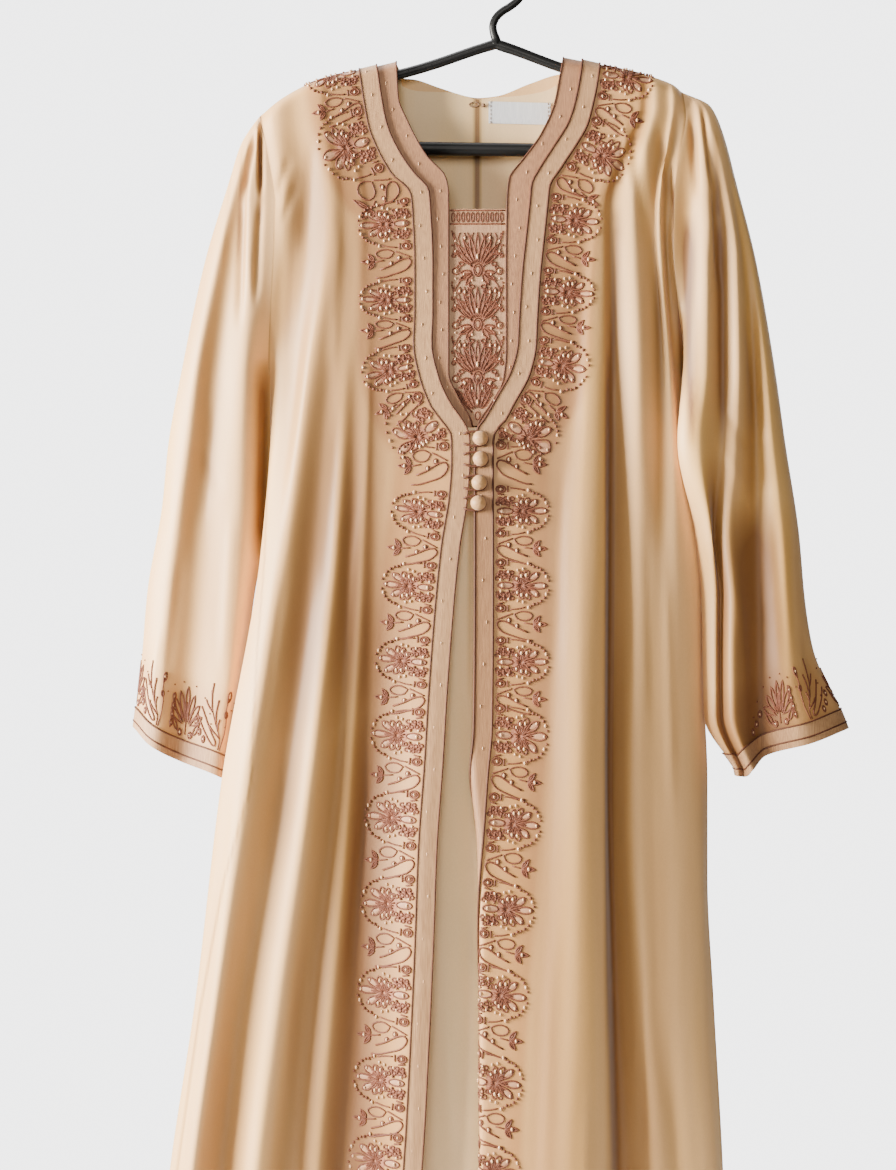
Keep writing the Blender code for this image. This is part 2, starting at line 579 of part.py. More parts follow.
def add_object(name, form, surface):
    """Object from a bmesh, with its faces pointing out."""
    bmesh.ops.recalc_face_normals(form, faces=form.faces)
    mesh = bpy.data.meshes.new(name)
    form.to_mesh(mesh)
    form.free()
    mesh.materials.append(surface)
    made = bpy.data.objects.new(name, mesh)
    bpy.context.collection.objects.link(made)
    return made


def wall(name, outer, inner, surface, present=None, lean=False):
    """One closed wall between an outer and an inner grid of points.

    `lean` splits each four-sided cell along its other diagonal.
    """
    rows, columns = outer.shape[:2]
    if present is None:
        present = np.ones((rows - 1, columns - 1), bool)
    corners = np.concatenate((outer.reshape(-1, 3), inner.reshape(-1, 3))) * MM
    count = rows * columns
    met = {}
    same = [met.setdefault(tuple(np.round(corner, 7)), k)
            for k, corner in enumerate(corners[:count])]
    skin = []
    for r, c in np.argwhere(present):
        a = r * columns + c
        b, d, e = a + 1, a + columns, a + columns + 1
        for triangle in ((a, b, d), (b, e, d)) if lean else ((a, b, e), (a, e, d)):
            triangle = tuple(same[k] for k in triangle)
            if len(set(triangle)) == 3:
                skin.append(triangle)
    edges = {(t[k - 1], t[k]) for t in skin for k in range(3)}
    faces = skin + [(c + count, b + count, a + count) for a, b, c in skin]
    for a, b in sorted(edges):
        if (b, a) not in edges:
            faces += [(b, a, a + count), (b, a + count, b + count)]
    form = bmesh.new()
    vertices = [form.verts.new(corner) for corner in corners]
    for face in faces:
        form.faces.new([vertices[k] for k in face])
    bmesh.ops.delete(form, geom=[v for v in form.verts if not v.link_faces], context="VERTS")
    return add_object(name, form, surface)


def strip(name, points, normal, rows, columns, thickness, surface, lean=False):
    """A band laid on a panel: the panel's own points, moved out."""
    area = (slice(*rows), slice(columns[0], columns[1] + 1))
    base, out = points[area], normal[area]
    return wall(name, base + out * (SEAM + thickness), base + out * SEAM, surface, lean=lean)


def rod(name, spine, radii, surface, closed=False, sides=10):
    """A round rod along points (across, depth, drop) that lie near one upright plane."""
    spine = np.array([(x, y, -d) for x, y, d in spine], float)
    ahead = np.roll(spine, -1, axis=0) - np.roll(spine, 1, axis=0)
    if not closed:
        ahead[0], ahead[-1] = spine[1] - spine[0], spine[-1] - spine[-2]
    ahead /= np.linalg.norm(ahead, axis=1, keepdims=True)
    form = bmesh.new()
    rings = []
    for place, way, radius in zip(spine, ahead, radii):
        side = np.cross(way, (0.0, 1.0, 0.0))
        side /= np.linalg.norm(side)
        up = np.cross(side, way)
        turns = [2 * math.pi * k / sides for k in range(sides)]
        rings.append([form.verts.new((place + radius * (math.cos(t) * side + math.sin(t) * up))
                                     * MM) for t in turns])
    for k in range(len(rings) - (0 if closed else 1)):
        this, after = rings[k], rings[(k + 1) % len(rings)]
        for j in range(sides):
            form.faces.new((this[j], this[(j + 1) % sides], after[(j + 1) % sides], after[j]))
    if not closed:
        form.faces.new(rings[0])
        form.faces.new(rings[-1][::-1])
    for face in form.faces:
        face.smooth = True
    return add_object(name, form, surface)


def ball(name, place, radius, surface, segments=12, rings=8):
    across, depth, drop = place
    form = bmesh.new()
    bmesh.ops.create_uvsphere(form, u_segments=segments, v_segments=rings, radius=radius * MM)
    for face in form.faces:
        face.smooth = True
    made = add_object(name, form, surface)
    made.rotation_euler = (math.pi / 2, 0, 0)
    made.location = (across * MM, depth * MM, -drop * MM)
    return made


# ------------------------------------------------------------------------- pieces
def make_robe(cloth, trim):
    seam = {RIGHT: {0: RIGHT}, LEFT: {0: LEFT}}
    for hand, section, splits, bend in (
            (RIGHT, robe_front_right, FRONT_RIGHT_SPLITS, None),
            (LEFT, robe_front_left, FRONT_LEFT_SPLITS, roll_under)):
        name = "right" if hand == RIGHT else "left"
        points = body_grid(section, splits, FRONT, robe_top, FRONT_ROWS, seam[hand], bend=bend)
        normal = body_normals(points, FRONT, seam[hand])
        lean = hand == LEFT
        wall(f"robe_front_{name}", points, points - normal * ROBE_WALL, cloth, lean=lean)
        last = points.shape[1] - 1
        strip(f"front_band_{name}", points, normal, (None, None), (last - splits[-1], last),
              STRIP_WALL, trim, lean)
    sides = {0: RIGHT, sum(BACK_SPLITS): LEFT}
    points = body_grid(robe_back, BACK_SPLITS, BACK, robe_back_top, BACK_ROWS, sides)
    first, last = BACK_NECK_COLUMNS
    normal = body_normals(points, BACK, sides, range(first + 1, last))
    wall("robe_back", points, points - normal * ROBE_WALL, cloth)
    strip("back_neck_band", points, normal, (0, BAND_ROWS_AT_NECK + 1), BACK_BAND_COLUMNS,
          STRIP_WALL, trim)


def make_sleeves(cloth, trim):
    for hand, table, drops, seam_line, tip, splits, cuff in (
            (RIGHT, SLEEVE_RIGHT, SLEEVE_RIGHT_DROPS, SLEEVE_RIGHT_SEAM, SEAM_RIGHT[0][0],
             SLEEVE_RIGHT_SPLITS, CUFF_RIGHT),
            (LEFT, SLEEVE_LEFT, SLEEVE_LEFT_DROPS, SLEEVE_LEFT_SEAM, SEAM_LEFT[0][0],
             SLEEVE_LEFT_SPLITS, CUFF_LEFT)):
        name = "right" if hand == RIGHT else "left"
        seam = SEAM_RIGHT if hand == RIGHT else SEAM_LEFT
        points = sleeve_grid(sleeve(table, drops, seam_line, seam, tip), splits, hand, tip,
                             lambda across, line=cuff: line_at(line, across))
        normal = sleeve_normals(points, hand)
        wall(f"sleeve_{name}", points, points - normal * ROBE_WALL, cloth)
        strip(f"cuff_band_{name}", points, normal, (-2, None), (0, points.shape[1] - 1),
              STRIP_WALL, trim)


def make_dress(cloth, trim, tape, thread):
    sides = {0: RIGHT, sum(DRESS_FRONT_SPLITS): LEFT}
    points = body_grid(dress_front, DRESS_FRONT_SPLITS, FRONT, dress_top, DRESS_ROWS, sides,
                       DRESS_LAYER)
    normal = body_normals(points, FRONT, sides)
    present = np.ones((points.shape[0] - 1, points.shape[1] - 1), bool)
    v_row = len(UPPER_ROWS) + DRESS_ROWS.index(V_DROP)
    present[:v_row, DRESS_NECK_GAP] = False
    wall("dress_front", points, points - normal * DRESS_WALL, cloth, present)
    for hand, name in ((RIGHT, "right"), (LEFT, "left")):
        strip(f"neck_band_{name}", points, normal, (0, v_row + 1), DRESS_BAND_COLUMNS[hand],
              STRIP_WALL, trim)
    for hand, name, table, seam in ((RIGHT, "right", DRESS_BACK_RIGHT, SEAM_RIGHT),
                                    (LEFT, "left", DRESS_BACK_LEFT, SEAM_LEFT)):
        half = body_grid(dress_back(table, seam, hand), DRESS_BACK_SPLITS, BACK, dress_back_top,
                         DRESS_BACK_ROWS, {0: hand}, DRESS_LAYER)
        out = body_normals(half, BACK, {0: hand},
                           range(DRESS_BACK_NECK_COLUMN + 1, half.shape[1]))
        keep_off(out, slice(None), -1, 0, hand)
        wall(f"dress_back_{name}", half, half - out * DRESS_WALL, cloth)
    make_plastron(trim)
    make_label(tape, thread)


def make_plastron(trim):
    """The embroidered panel behind the V, tucked under the neck edges."""
    tuck, rows, columns = 3.5, 9, 6
    outer = np.zeros((rows, columns, 3))
    for r, drop in enumerate(np.linspace(PLASTRON_TOP, V_DROP - 8, rows)):
        right = line_at(NECK_RIGHT, drop) - tuck
        left = line_at(NECK_LEFT, drop) + tuck
        depth = smooth(FOLD_DROPS, DRESS_BAND_DEPTH, drop) + DRESS_WALL + 3 * SEAM
        for c, share in enumerate(np.linspace(0, 1, columns)):
            outer[r, c] = right + share * (left - right), depth, -drop
    wall("plastron", outer, outer + (0, DRESS_WALL, 0), trim)


def dress_back_inside(across, drop):
    """Depth of the inner side of the dress's left back."""
    curve = through(dress_back(DRESS_BACK_LEFT, SEAM_LEFT, LEFT)(drop), (4, 4, 4, 4, 4))
    rise = (drop - shoulder(across) - DRESS_LAYER) / (SHOULDER_ROLL - DRESS_LAYER)
    depth = np.interp(across, curve[::-1, 0], curve[::-1, 1])
    return depth * math.sqrt(1 - (1 - min(max(rise, 0.0), 1.0)) ** 2) - DRESS_WALL


def make_label(tape, thread):
    start, end, upper, lower = LABEL
    inner = np.array([[(x, dress_back_inside(x, d) - 3 * SEAM, -d)
                       for x in np.linspace(start, end, 5)] for d in (upper, lower)])
    wall("neck_label", inner - (0, LABEL_WALL, 0), inner, tape)
    button = (CENTRE_BACK + 6, dress_back_inside(CENTRE_BACK + 6, 140) - 1.5 * SEAM - 2, 140)
    ball("neck_button", button, 2.0, thread, 8, 6)
    depth = dress_back_inside(CENTRE_BACK + 1, 139) - SEAM - 0.6
    turns = [math.radians(a) for a in range(-90, 271, 45)]
    loop = [(CENTRE_BACK - 3 - 4.5 * math.cos(t), depth, 139 + 2.2 * math.sin(t))
            for t in turns[1:-1]]
    rod("neck_loop", loop, [0.6] * len(loop), thread, sides=6)


def band_front(across, drop):
    """Depth of the outer side of the front bands where they button."""
    right = smooth(FOLD_DROPS, BAND_DEPTH_RIGHT, drop)
    left = smooth(FOLD_DROPS, BAND_DEPTH_LEFT, drop)
    return min(right, left) - SEAM - STRIP_WALL


def make_fastening(cloth, cord):
    for number, (across, drop) in enumerate(BUTTONS, 1):
        rest = band_front(across, drop) - SEAM
        ball(f"button_{number}", (across, rest - BUTTON_RADIUS, drop), BUTTON_RADIUS, cloth)
        bend = [(across + LOOP_RADIUS * math.cos(t), drop + LOOP_RADIUS * math.sin(t))
                for t in (math.radians(a) for a in range(-90, 91, 30))]
        route = ([(LOOP_END, drop - LOOP_RADIUS + 2), (LOOP_END + 8, drop - LOOP_RADIUS)]
                 + bend + [(LOOP_END + 8, drop + LOOP_RADIUS), (LOOP_END, drop + LOOP_RADIUS - 2)])
        spine = [(x, band_front(x, d) - 1.5 * SEAM - LOOP_CORD, d) for x, d in route]
        rod(f"loop_{number}", spine, [LOOP_CORD] * len(spine), cord, sides=6)


def make_hanger(plastic):
    other = [(-x, d, r) for x, d, r in HANGER_HALF[1:]]
    ring = list(HANGER_HALF) + other[::-1]
    frame = rod("hanger", [(x, 0, d) for x, d, _r in ring], [r for *_place, r in ring], plastic,
                closed=True, sides=8)
    bend = [(HOOK_BEND * math.cos(t), HOOK_BEND - HOOK_CORD - HOOK_BEND * math.sin(t))
            for t in (math.radians(a) for a in range(-60, 201, 20))]
    spine = [(x, 0, d) for x, d in list(HOOK_NECK) + bend]
    hook = rod("hook_rod", spine, [HOOK_CORD] * len(spine), plastic, sides=8)
    for thing in (frame, hook):
        thing.rotation_euler = (0, HANGER_TILT, 0)
    hook.hide_render = True
    hook.display_type = "WIRE"
    union = frame.modifiers.new("hook", "BOOLEAN")
    union.operation = "UNION"
    union.solver = "EXACT"
    union.object = hook


def main():
    for thing in list(bpy.data.objects):
        bpy.data.objects.remove(thing, do_unlink=True)
    crepe = material("crepe", (0.70, 0.56, 0.41), 0.45)
    lining = material("dress_crepe", (0.62, 0.50, 0.37), 0.5)
    trim = material("trim", (0.68, 0.53, 0.41), 0.6)
    tape = material("label", (0.80, 0.80, 0.82), 0.7)
    thread = material("thread", (0.50, 0.38, 0.28), 0.6)
    plastic = material("plastic", (0.012, 0.011, 0.011), 0.35)
    make_hanger(plastic)
    make_robe(crepe, trim)
    make_sleeves(crepe, trim)
    make_dress(lining, trim, tape, thread)
    make_fastening(trim, thread)


main()
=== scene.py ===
"""Looks of a Moroccan kaftan (takchita) on a plastic hanger.

Sizes are in millimetres and become metres when a mesh is made.  "Drop" is the height
below the inside top of the hook, "across" runs to the wearer's left (+X) and "depth"
from the front (-Y) to the back (+Y).  Each cloth is a thin shell on the form of its
solid, with its creases as soft troughs, and carries its cords, beads and stitches.
"""
import math

import bmesh
import bpy
import numpy as np
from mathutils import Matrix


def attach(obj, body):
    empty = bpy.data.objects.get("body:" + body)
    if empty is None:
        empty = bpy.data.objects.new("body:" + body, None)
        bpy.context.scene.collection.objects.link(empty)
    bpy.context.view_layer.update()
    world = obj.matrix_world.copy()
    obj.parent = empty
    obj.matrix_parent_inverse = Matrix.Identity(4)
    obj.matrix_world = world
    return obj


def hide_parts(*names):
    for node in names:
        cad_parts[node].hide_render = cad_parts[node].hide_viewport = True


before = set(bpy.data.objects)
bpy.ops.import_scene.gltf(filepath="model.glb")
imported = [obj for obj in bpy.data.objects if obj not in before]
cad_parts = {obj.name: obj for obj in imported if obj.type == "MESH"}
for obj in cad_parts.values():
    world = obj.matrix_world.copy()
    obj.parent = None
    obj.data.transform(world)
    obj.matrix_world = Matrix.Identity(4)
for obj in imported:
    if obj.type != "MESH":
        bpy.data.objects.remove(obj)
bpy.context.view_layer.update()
MM = 0.001

# ---------------------------------------------------------------- driving sizes
DRESS_WALL = 1.0
STRIP_WALL = 1.0           # the sewn-on bands
ROBE_SHELL = 0.9           # the robe's cloth as it is drawn here
DRESS_SHELL = 0.8
BAND_LIFT, BAND_SHELL = 1.15, 0.85   # a band's outer face above its cloth, and its wall
NECK_BAND_LIFT = 1.1       # the same for the inner neck bands
SEAM = 0.06                # the cloths all but meet at a seam
FRONT_BAND = 17.0          # width of the robe's front band
BACK_NECK_BAND = 18.5      # height of the band round the back of the neck
STRIP, STRIP_FADE = 50.0, 8.0        # the embroidered strip beside it, and its soft edge
CUFF_BAND, CUFF_LINE = 21.0, 8.5     # heights of the cuff's two piping lines
CUFF_STRIP, CUFF_FADE = 84.0, 24.0   # height of the cuff's strip, and its soft edge
PIPING_LIFT = 1.3          # the piping's middle above the cloth's face
UNDERARM = 398.0           # drop of both underarm points
FIRST_DROP = 84.0          # the sections start here, above every shoulder line
ROBE_HEM = 1516.0
DRESS_HEM = 1496.0
SLEEVE_END = 812.0         # past the lowest point of the sleeve hems
SHOULDER_ROLL = 14.0       # the cloth rounds over the hanger within this drop
ARMHOLE_DEPTH = 22.0       # half the armhole's size from front to back
DRESS_ARMHOLE_DEPTH = 8.5
DRESS_INSET = 14.0         # the inner dress is this much narrower on each side
DRESS_LAYER = 1.7          # the inner dress lies this far inside the robe
ROLL_RADIUS = 5.0          # the left front edge rolls under on this radius
ROLL_ZONE = 22.0           # cloth beside the band that the roll reaches

FRONT, BACK = -1, 1        # sign of the depth
AHEAD = (0.0, -1.0, 0.0)   # straight out of the front
RIGHT, LEFT = -1, 1        # the wearer's sides, as the sign of across
NAME = {RIGHT: "right", LEFT: "left"}

# ------------------------------------------------------------- lines of the cut
# (across, drop) of the shoulder line, from the right tip over the neck to the left tip
SHOULDER = ((-229, 153), (-206, 135), (-184, 123), (-161, 115), (-131, 108), (-98, 100),
            (-55, 89), (-18, 84), (22, 89), (65, 96), (98, 103), (152, 116), (168, 122),
            (179, 130))
# (across, drop) of the back necklines
ROBE_BACK_NECK = ((-117, 100), (-112.5, 107.5), (-109, 112.5), (-83, 113.5), (-55, 122),
                  (-29, 130), (-19, 131.5), (-1, 130), (32, 118), (61, 109), (75, 108),
                  (78.5, 103), (82, 96))
DRESS_BACK_NECK = ((-97, 98), (-94.5, 105.5), (-92, 121), (-74, 126), (-45, 127), (-29, 131),
                   (-19, 134), (-3, 132), (14, 131), (42, 127), (60, 118), (62, 102), (64, 93))
# (drop, across) of the armhole seam and, below the underarm, of the side seam
SEAM_RIGHT = ((153, -229), (164, -226), (193, -220), (221, -215), (236, -213), (281, -214),
              (333, -217), (398, -220), (465, -219), (580, -221), (667, -227), (793, -232),
              (884, -258), (1006, -281), (1169, -304), (1544, -344))
SEAM_LEFT = ((130, 179), (154, 181), (194, 174), (229, 169), (276, 168), (330, 172),
             (398, 181), (465, 184), (523, 190), (580, 199), (687, 199), (793, 203),
             (884, 203), (1006, 209), (1169, 218), (1544, 231))
# (drop, across) of the robe's front edges, from the neck point to the hem
EDGE_RIGHT = ((104, -116), (139, -111), (164, -106), (191, -94), (213, -79), (228, -66),
              (250, -64), (299, -62), (348, -62), (375, -63), (409, -56), (433, -45),
              (450, -33), (464, -27), (489, -27), (520, -29), (572, -37), (633, -43),
              (715, -49), (767, -52), (853, -58), (938, -61), (1107, -69), (1154, -72),
              (1519, -94))
EDGE_LEFT = ((99, 82), (130, 77), (160, 69), (184, 55), (206, 41), (224, 32), (236, 31),
             (264, 28), (311, 23), (357, 20), (377, 19), (401, 13), (427, -1), (448, -13),
             (460, -21), (489, -22), (613, -22), (735, -23), (783, -27), (853, -32),
             (904, -36), (983, -42), (1065, -47), (1154, -50), (1519, -50))
# (drop, across) of the fold on which the left front edge rolls under
ROLL_EDGE = ((700, -33), (790, -25), (860, -18.5), (930, -18), (1519, -18))
# (drop, across) of the inner dress's neck edge; both sides end in the V
NECK_RIGHT = ((101, -97), (139, -95), (157, -88), (176, -79), (196, -67), (215, -50),
              (231, -47), (299, -47), (404, -47), (426, -38), (455, -24), (520, -26),
              (1530, -30))
NECK_LEFT = ((97, 64), (117, 60), (143, 55), (175, 41), (200, 23), (217, 11), (241, 9),
             (311, 8), (381, 8), (411, 5), (432, -6), (455, -19), (520, -16), (1530, -12))
V_DROP = 455.0             # bottom of the inner dress's V
PLASTRON_TOP = 246.0

# ------------------------------------------------------------------- fold tables
# A row per fold line: its name, its across and its depth at each of these drops
FOLD_DROPS = (150, 250, 400, 580, 790, 1000, 1160, 1530)
ROBE_FRONT = {RIGHT: (
    ("side turn", (-216, -203, -211, -226, -262, -287, -311, -350),
     (-13, -23, -12, -28, -34, -36, -36, -36)),
    ("arm hollow", (-193, -183, -192, -215, -251, -277, -300, -338),
     (-13, -19, -22, -42, -50, -52, -55, -58)),
    ("side ridge", (-170, -159, -180, -202, -235, -265, -286, -320),
     (-17, -29, -38, -48, -60, -64, -68, -74)),
    ("side hollow", (-162, -145, -159, -176, -203, -241, -262, -298),
     (-16, -27, -35, -38, -42, -42, -42, -42)),
    ("hip ridge", (-156, -136, -145, -155, -177, -207, -227, -261),
     (-16, -27, -36, -45, -58, -62, -68, -74)),
    ("hip hollow", (-150, -129, -134, -139, -155, -178, -195, -223),
     (-16, -27, -35, -38, -41, -41, -42, -42)),
    ("thigh ridge", (-145, -123, -123, -129, -140, -158, -171, -193),
     (-16, -26, -35, -40, -42, -47, -50, -54)),
    ("front hollow", (-140, -115, -116, -116, -125, -136, -150, -166),
     (-16, -26, -34, -37, -34, -36, -37, -40)),
), LEFT: (
    ("side turn", (173, 161, 170, 188, 192, 196, 206, 219),
     (-13, -18, -14, -16, -18, -20, -22, -24)),
    ("side ridge", (168, 154, 164, 172, 173, 177, 187, 196),
     (-15, -25, -26, -27, -28, -30, -30, -34)),
    ("side hollow", (163, 150, 155, 156, 149, 153, 168, 172),
     (-14, -20, -24, -30, -34, -36, -34, -36)),
    ("hip ridge", (151, 129, 133, 133, 127, 136, 148, 148),
     (-17, -29, -37, -37, -38, -40, -40, -46)),
    ("deep hollow", (142, 108, 109, 108, 107, 113, 118, 121),
     (-15, -22, -26, -25, -22, -22, -26, -28)),
    ("fold edge", (136, 101, 100, 99, 98, 99, 100, 98),
     (-16, -26, -36, -48, -53, -57, -59, -63)),
    ("fold ridge", (130, 94, 86, 79, 76, 74, 68, 61),
     (-16, -27, -39, -55, -65, -69, -73, -79)),
    ("front rise", (125, 86, 74, 52, 46, 38, 30, 24),
     (-16, -26, -35, -48, -56, -62, -66, -72)),
)}
# depth of the front bands at the fold drops
BAND_DEPTH = {RIGHT: (-16, -26, -35, -46, -54, -59, -61, -64),
              LEFT: (-16, -26, -35, -45, -53, -58, -62, -66)}
ROBE_BACK = (
    ("right turn", (-220, -207, -214, -211, -219, -260, -282, -319),
     (12, 16, 14, 18, 20, 24, 26, 28)),
    ("right ridge", (-191, -186, -192, -187, -194, -226, -244, -275),
     (14, 24, 32, 40, 50, 58, 64, 74)),
    ("right hollow", (-154, -151, -151, -148, -151, -171, -183, -203),
     (14, 24, 29, 34, 36, 40, 44, 50)),
    ("band right", (-133, -130, -130, -128, -129, -144, -153, -169),
     (15, 24.5, 31, 38, 44, 50, 54, 62)),
    ("neck right", (-116, -109, -109, -106, -107, -117, -123, -135),
     (15, 25, 34, 44, 54, 62, 68, 80)),
    ("neck curve right", (-109, -102, -102, -99, -100, -109, -114, -125),
     (14, 25, 34, 43.5, 53, 61, 67, 78)),
    ("mid right", (-67, -65, -65, -65, -65, -69, -71, -75),
     (15, 26, 31, 36, 38, 42, 46, 52)),
    ("centre", (-18, -19, -19, -19, -19, -18, -18, -17),
     (16, 27, 34, 44, 54, 64, 70, 80)),
    ("mid left", (32, 29, 27, 27, 27, 32, 34, 39),
     (15, 26, 31, 36, 40, 44, 48, 54)),
    ("neck curve left", (75, 67, 65, 64, 64, 71, 77, 92),
     (14, 25, 34, 42.5, 52, 61, 67, 76)),
    ("neck left", (82, 74, 72, 71, 71, 78, 84, 100),
     (14, 25, 34, 43, 53, 62, 68, 78)),
    ("band left", (99, 92, 92, 92, 93, 101, 108, 125),
     (14, 24.5, 31, 38, 44, 51, 56, 64)),
    ("left hollow", (118, 113, 113, 113, 116, 126, 134, 152),
     (14, 24, 29, 34, 37, 42, 46, 52)),
    ("left ridge", (150, 146, 150, 157, 162, 170, 179, 198),
     (14, 24, 31, 38, 46, 52, 56, 64)),
    ("left turn", (172, 159, 167, 188, 190, 196, 206, 219),
     (12, 16, 14, 16, 18, 20, 22, 26)),
)
DRESS_FRONT = {RIGHT: (
    ("side panel", (-180, -172, -176, -184, -192, -225, -245, -278),
     (-10, -15, -17, -24, -26, -28, -30, -32)),
    ("front panel", (-135, -124, -124, -124, -136, -150, -162, -182),
     (-12, -22, -30, -31, -28, -30, -31, -33)),
), LEFT: (
    ("front panel", (110, 100, 90, 84, 80, 80, 82, 84),
     (-11, -16, -18, -22, -22, -24, -26, -28)),
    ("side panel", (150, 138, 146, 152, 150, 156, 166, 172),
     (-10, -14, -17, -17, -15, -15, -18, -20)),
)}
# depth of the inner dress at its neck band, then down the middle of its front
DRESS_BAND_DEPTH = (-13.5, -23.8, -32.6, -34, -37, -40, -42, -45)
DRESS_BACK = {RIGHT: (
    ("side panel", (-182, -176, -180, -184, -194, -226, -244, -276),
     (10, 17, 21, 25, 27, 29, 31, 35)),
    ("neck point", (-97, -97, -97, -97, -98, -104, -110, -124),
     (9, 21, 24, 28, 31, 34, 36, 42)),
    ("neck curve", (-92, -92, -92, -92, -93, -99, -105, -118),
     (10.5, 21, 24, 28, 31, 34, 36, 42)),
    ("mid back", (-58, -58, -58, -58, -58, -60, -62, -66),
     (12, 22, 25, 27, 28, 30, 32, 36)),
), LEFT: (
    ("side panel", (148, 138, 146, 154, 156, 162, 172, 184),
     (10, 17, 21, 25, 27, 29, 31, 35)),
    ("neck point", (64, 64, 64, 64, 64, 68, 73, 84),
     (11.5, 21, 24, 28, 31, 34, 36, 42)),
    ("neck curve", (60, 60, 60, 60, 60, 64, 69, 79),
     (11.5, 21, 24, 28, 31, 34, 36, 42)),
    ("mid back", (22, 22, 22, 22, 22, 24, 26, 30),
     (12, 22, 25, 27, 28, 30, 32, 36)),
)}
DRESS_CENTRE_DEPTH = (12, 22, 25.5, 29, 32, 35, 37, 42)
CENTRE_BACK = -19.0        # across of the inner dress's centre-back seam
SLEEVE_RIGHT_DROPS = (153, 165, 180, 215, 295, 398, 470, 530, 610, 680, 800)
SLEEVE_RIGHT_SEAM = (-229, -226, -223, -216, -213, -217, -217.5, -219.5, -233, -243, -263)
SLEEVE_RIGHT = (
    ("front ridge", (-229, -230, -231, -231, -234, -240, -243, -244, -247, -253, -268),
     (0, -9, -13, -19, -25, -26, -24, -24, -24, -25, -28)),
    ("front hollow", (-229, -233, -237, -243, -255, -271, -278, -285, -291, -296, -306),
     (0, -8, -10, -14, -17, -14, -13, -13, -14, -15, -16)),
    ("outer ridge", (-229, -235, -240, -250, -268, -288, -297, -305, -314, -320, -331),
     (0, -5, -8, -13, -20, -21, -21, -21, -22, -23, -26)),
    ("outer fold", (-229, -238, -247, -258, -282, -304, -317, -323, -337, -343, -358),
     (0, 0, 0, 0, 0, 0, 0, 0, 0, 0, 0)),
    ("rear outer", (-229, -235, -240, -249, -266, -286, -296, -304, -314, -321, -333),
     (0, 5, 8, 13, 19, 20, 20, 20, 21, 22, 24)),
    ("rear hollow", (-229, -232, -236, -241, -251, -264, -270, -275, -282, -288, -300),
     (0, 8, 10, 14, 15, 13, 12, 12, 13, 14, 15)),
    ("rear ridge", (-229, -230, -231, -231, -233, -238, -241, -243, -248, -255, -272),
     (0, 9, 13, 18, 23, 22, 20, 20, 21, 22, 24)),
)
SLEEVE_LEFT_DROPS = (130, 142, 167, 219, 295, 398, 469, 554, 620, 667, 729, 782)
SLEEVE_LEFT_SEAM = (179, 180, 180, 170, 168, 178, 181.5, 193.5, 198, 199, 202, 231)
SLEEVE_LEFT = (
    ("inner fold", (179, 185, 188, 184, 180, 178, 171, 189, 196, 197, 198, 229),
     (0, -7, -12, -18, -20, -24, -35, -17, -9, -8, -6, -6)),
    ("front ridge", (179, 190, 195, 196, 198, 197, 189, 202, 208, 208, 208, 230),
     (0, -9, -16, -25, -32, -36, -44, -34, -24, -22, -21, -20)),
    ("front hollow", (179, 194, 202, 208, 214, 214, 210, 206, 213, 213, 214, 235),
     (0, -9, -16, -20, -20, -22, -30, -22, -18, -16, -16, -16)),
    ("middle ridge", (179, 197, 206, 217, 227, 228, 226, 218, 223, 222, 223, 242),
     (0, -8.5, -15, -21, -27, -32, -34, -32, -30, -30, -29, -27)),
    ("middle hollow", (179, 199, 211, 223, 236, 245, 246, 247, 248, 249, 249, 257),
     (0, -7, -12, -16, -17, -17, -16, -16, -15, -14, -14, -14)),
    ("outer ridge", (179, 202, 214, 227.5, 244, 256, 262, 271, 274, 276, 288, 303),
     (0, -5, -8, -11, -15, -22, -24, -25, -26, -26, -25, -23)),
    ("outer fold", (179, 205, 217, 231, 250, 268, 278, 291, 297, 305, 333, 352),
     (0, 0, 0, 0, 0, 0, 0, 0, 0, 0, 0, 0)),
    ("rear outer", (179, 201, 212, 225, 240, 254, 262, 272, 277, 282, 300, 314),
     (0, 5, 8, 13, 19, 21, 21, 22, 22, 22, 22, 22)),
    ("rear hollow", (179, 196, 205, 213, 219, 228, 234, 240, 243, 245, 252, 268),
     (0, 7, 11, 14, 15, 14, 14, 14, 14, 14, 14, 14)),
    ("rear ridge", (179, 190, 193, 191, 192, 201, 209, 215, 218, 219, 222, 243),
     (0, 9, 14, 18, 22, 23, 22, 22, 22, 22, 22, 20)),
)
# (across, drop) of the slanting sleeve hems
CUFF = {RIGHT: ((-360, 738), (-350, 741), (-333, 756), (-306, 772), (-269, 785), (-255, 794)),
        LEFT: ((225, 786), (236, 788), (244, 779), (257, 768), (304, 754), (337, 743),
               (360, 738))}
SIDE_SEAM = {RIGHT: SEAM_RIGHT, LEFT: SEAM_LEFT}
EDGE = {RIGHT: EDGE_RIGHT, LEFT: EDGE_LEFT}
NECK = {RIGHT: NECK_RIGHT, LEFT: NECK_LEFT}
# fold table, its drops and the inner seam's across at them
SLEEVE = {RIGHT: (SLEEVE_RIGHT, SLEEVE_RIGHT_DROPS, SLEEVE_RIGHT_SEAM),
          LEFT: (SLEEVE_LEFT, SLEEVE_LEFT_DROPS, SLEEVE_LEFT_SEAM)}

# ------------------------------------------------------------------- small pieces
BUTTON_RADIUS = 7.3
BUTTONS = ((-16.7, 466.3), (-16.7, 485.8), (-17.9, 508.2), (-18.8, 527.5))   # across, drop
LOOP_RADIUS = 6.7
LOOP_CORD = 1.1            # radius of the loops' cord
LOOP_END = -33.0           # across of the loops' ends, on the right front band
LABEL = (-8.0, 52.0, 136.0, 157.0)   # across from, to; drop from, to
LABEL_GRID = (12, 28)      # rows and columns

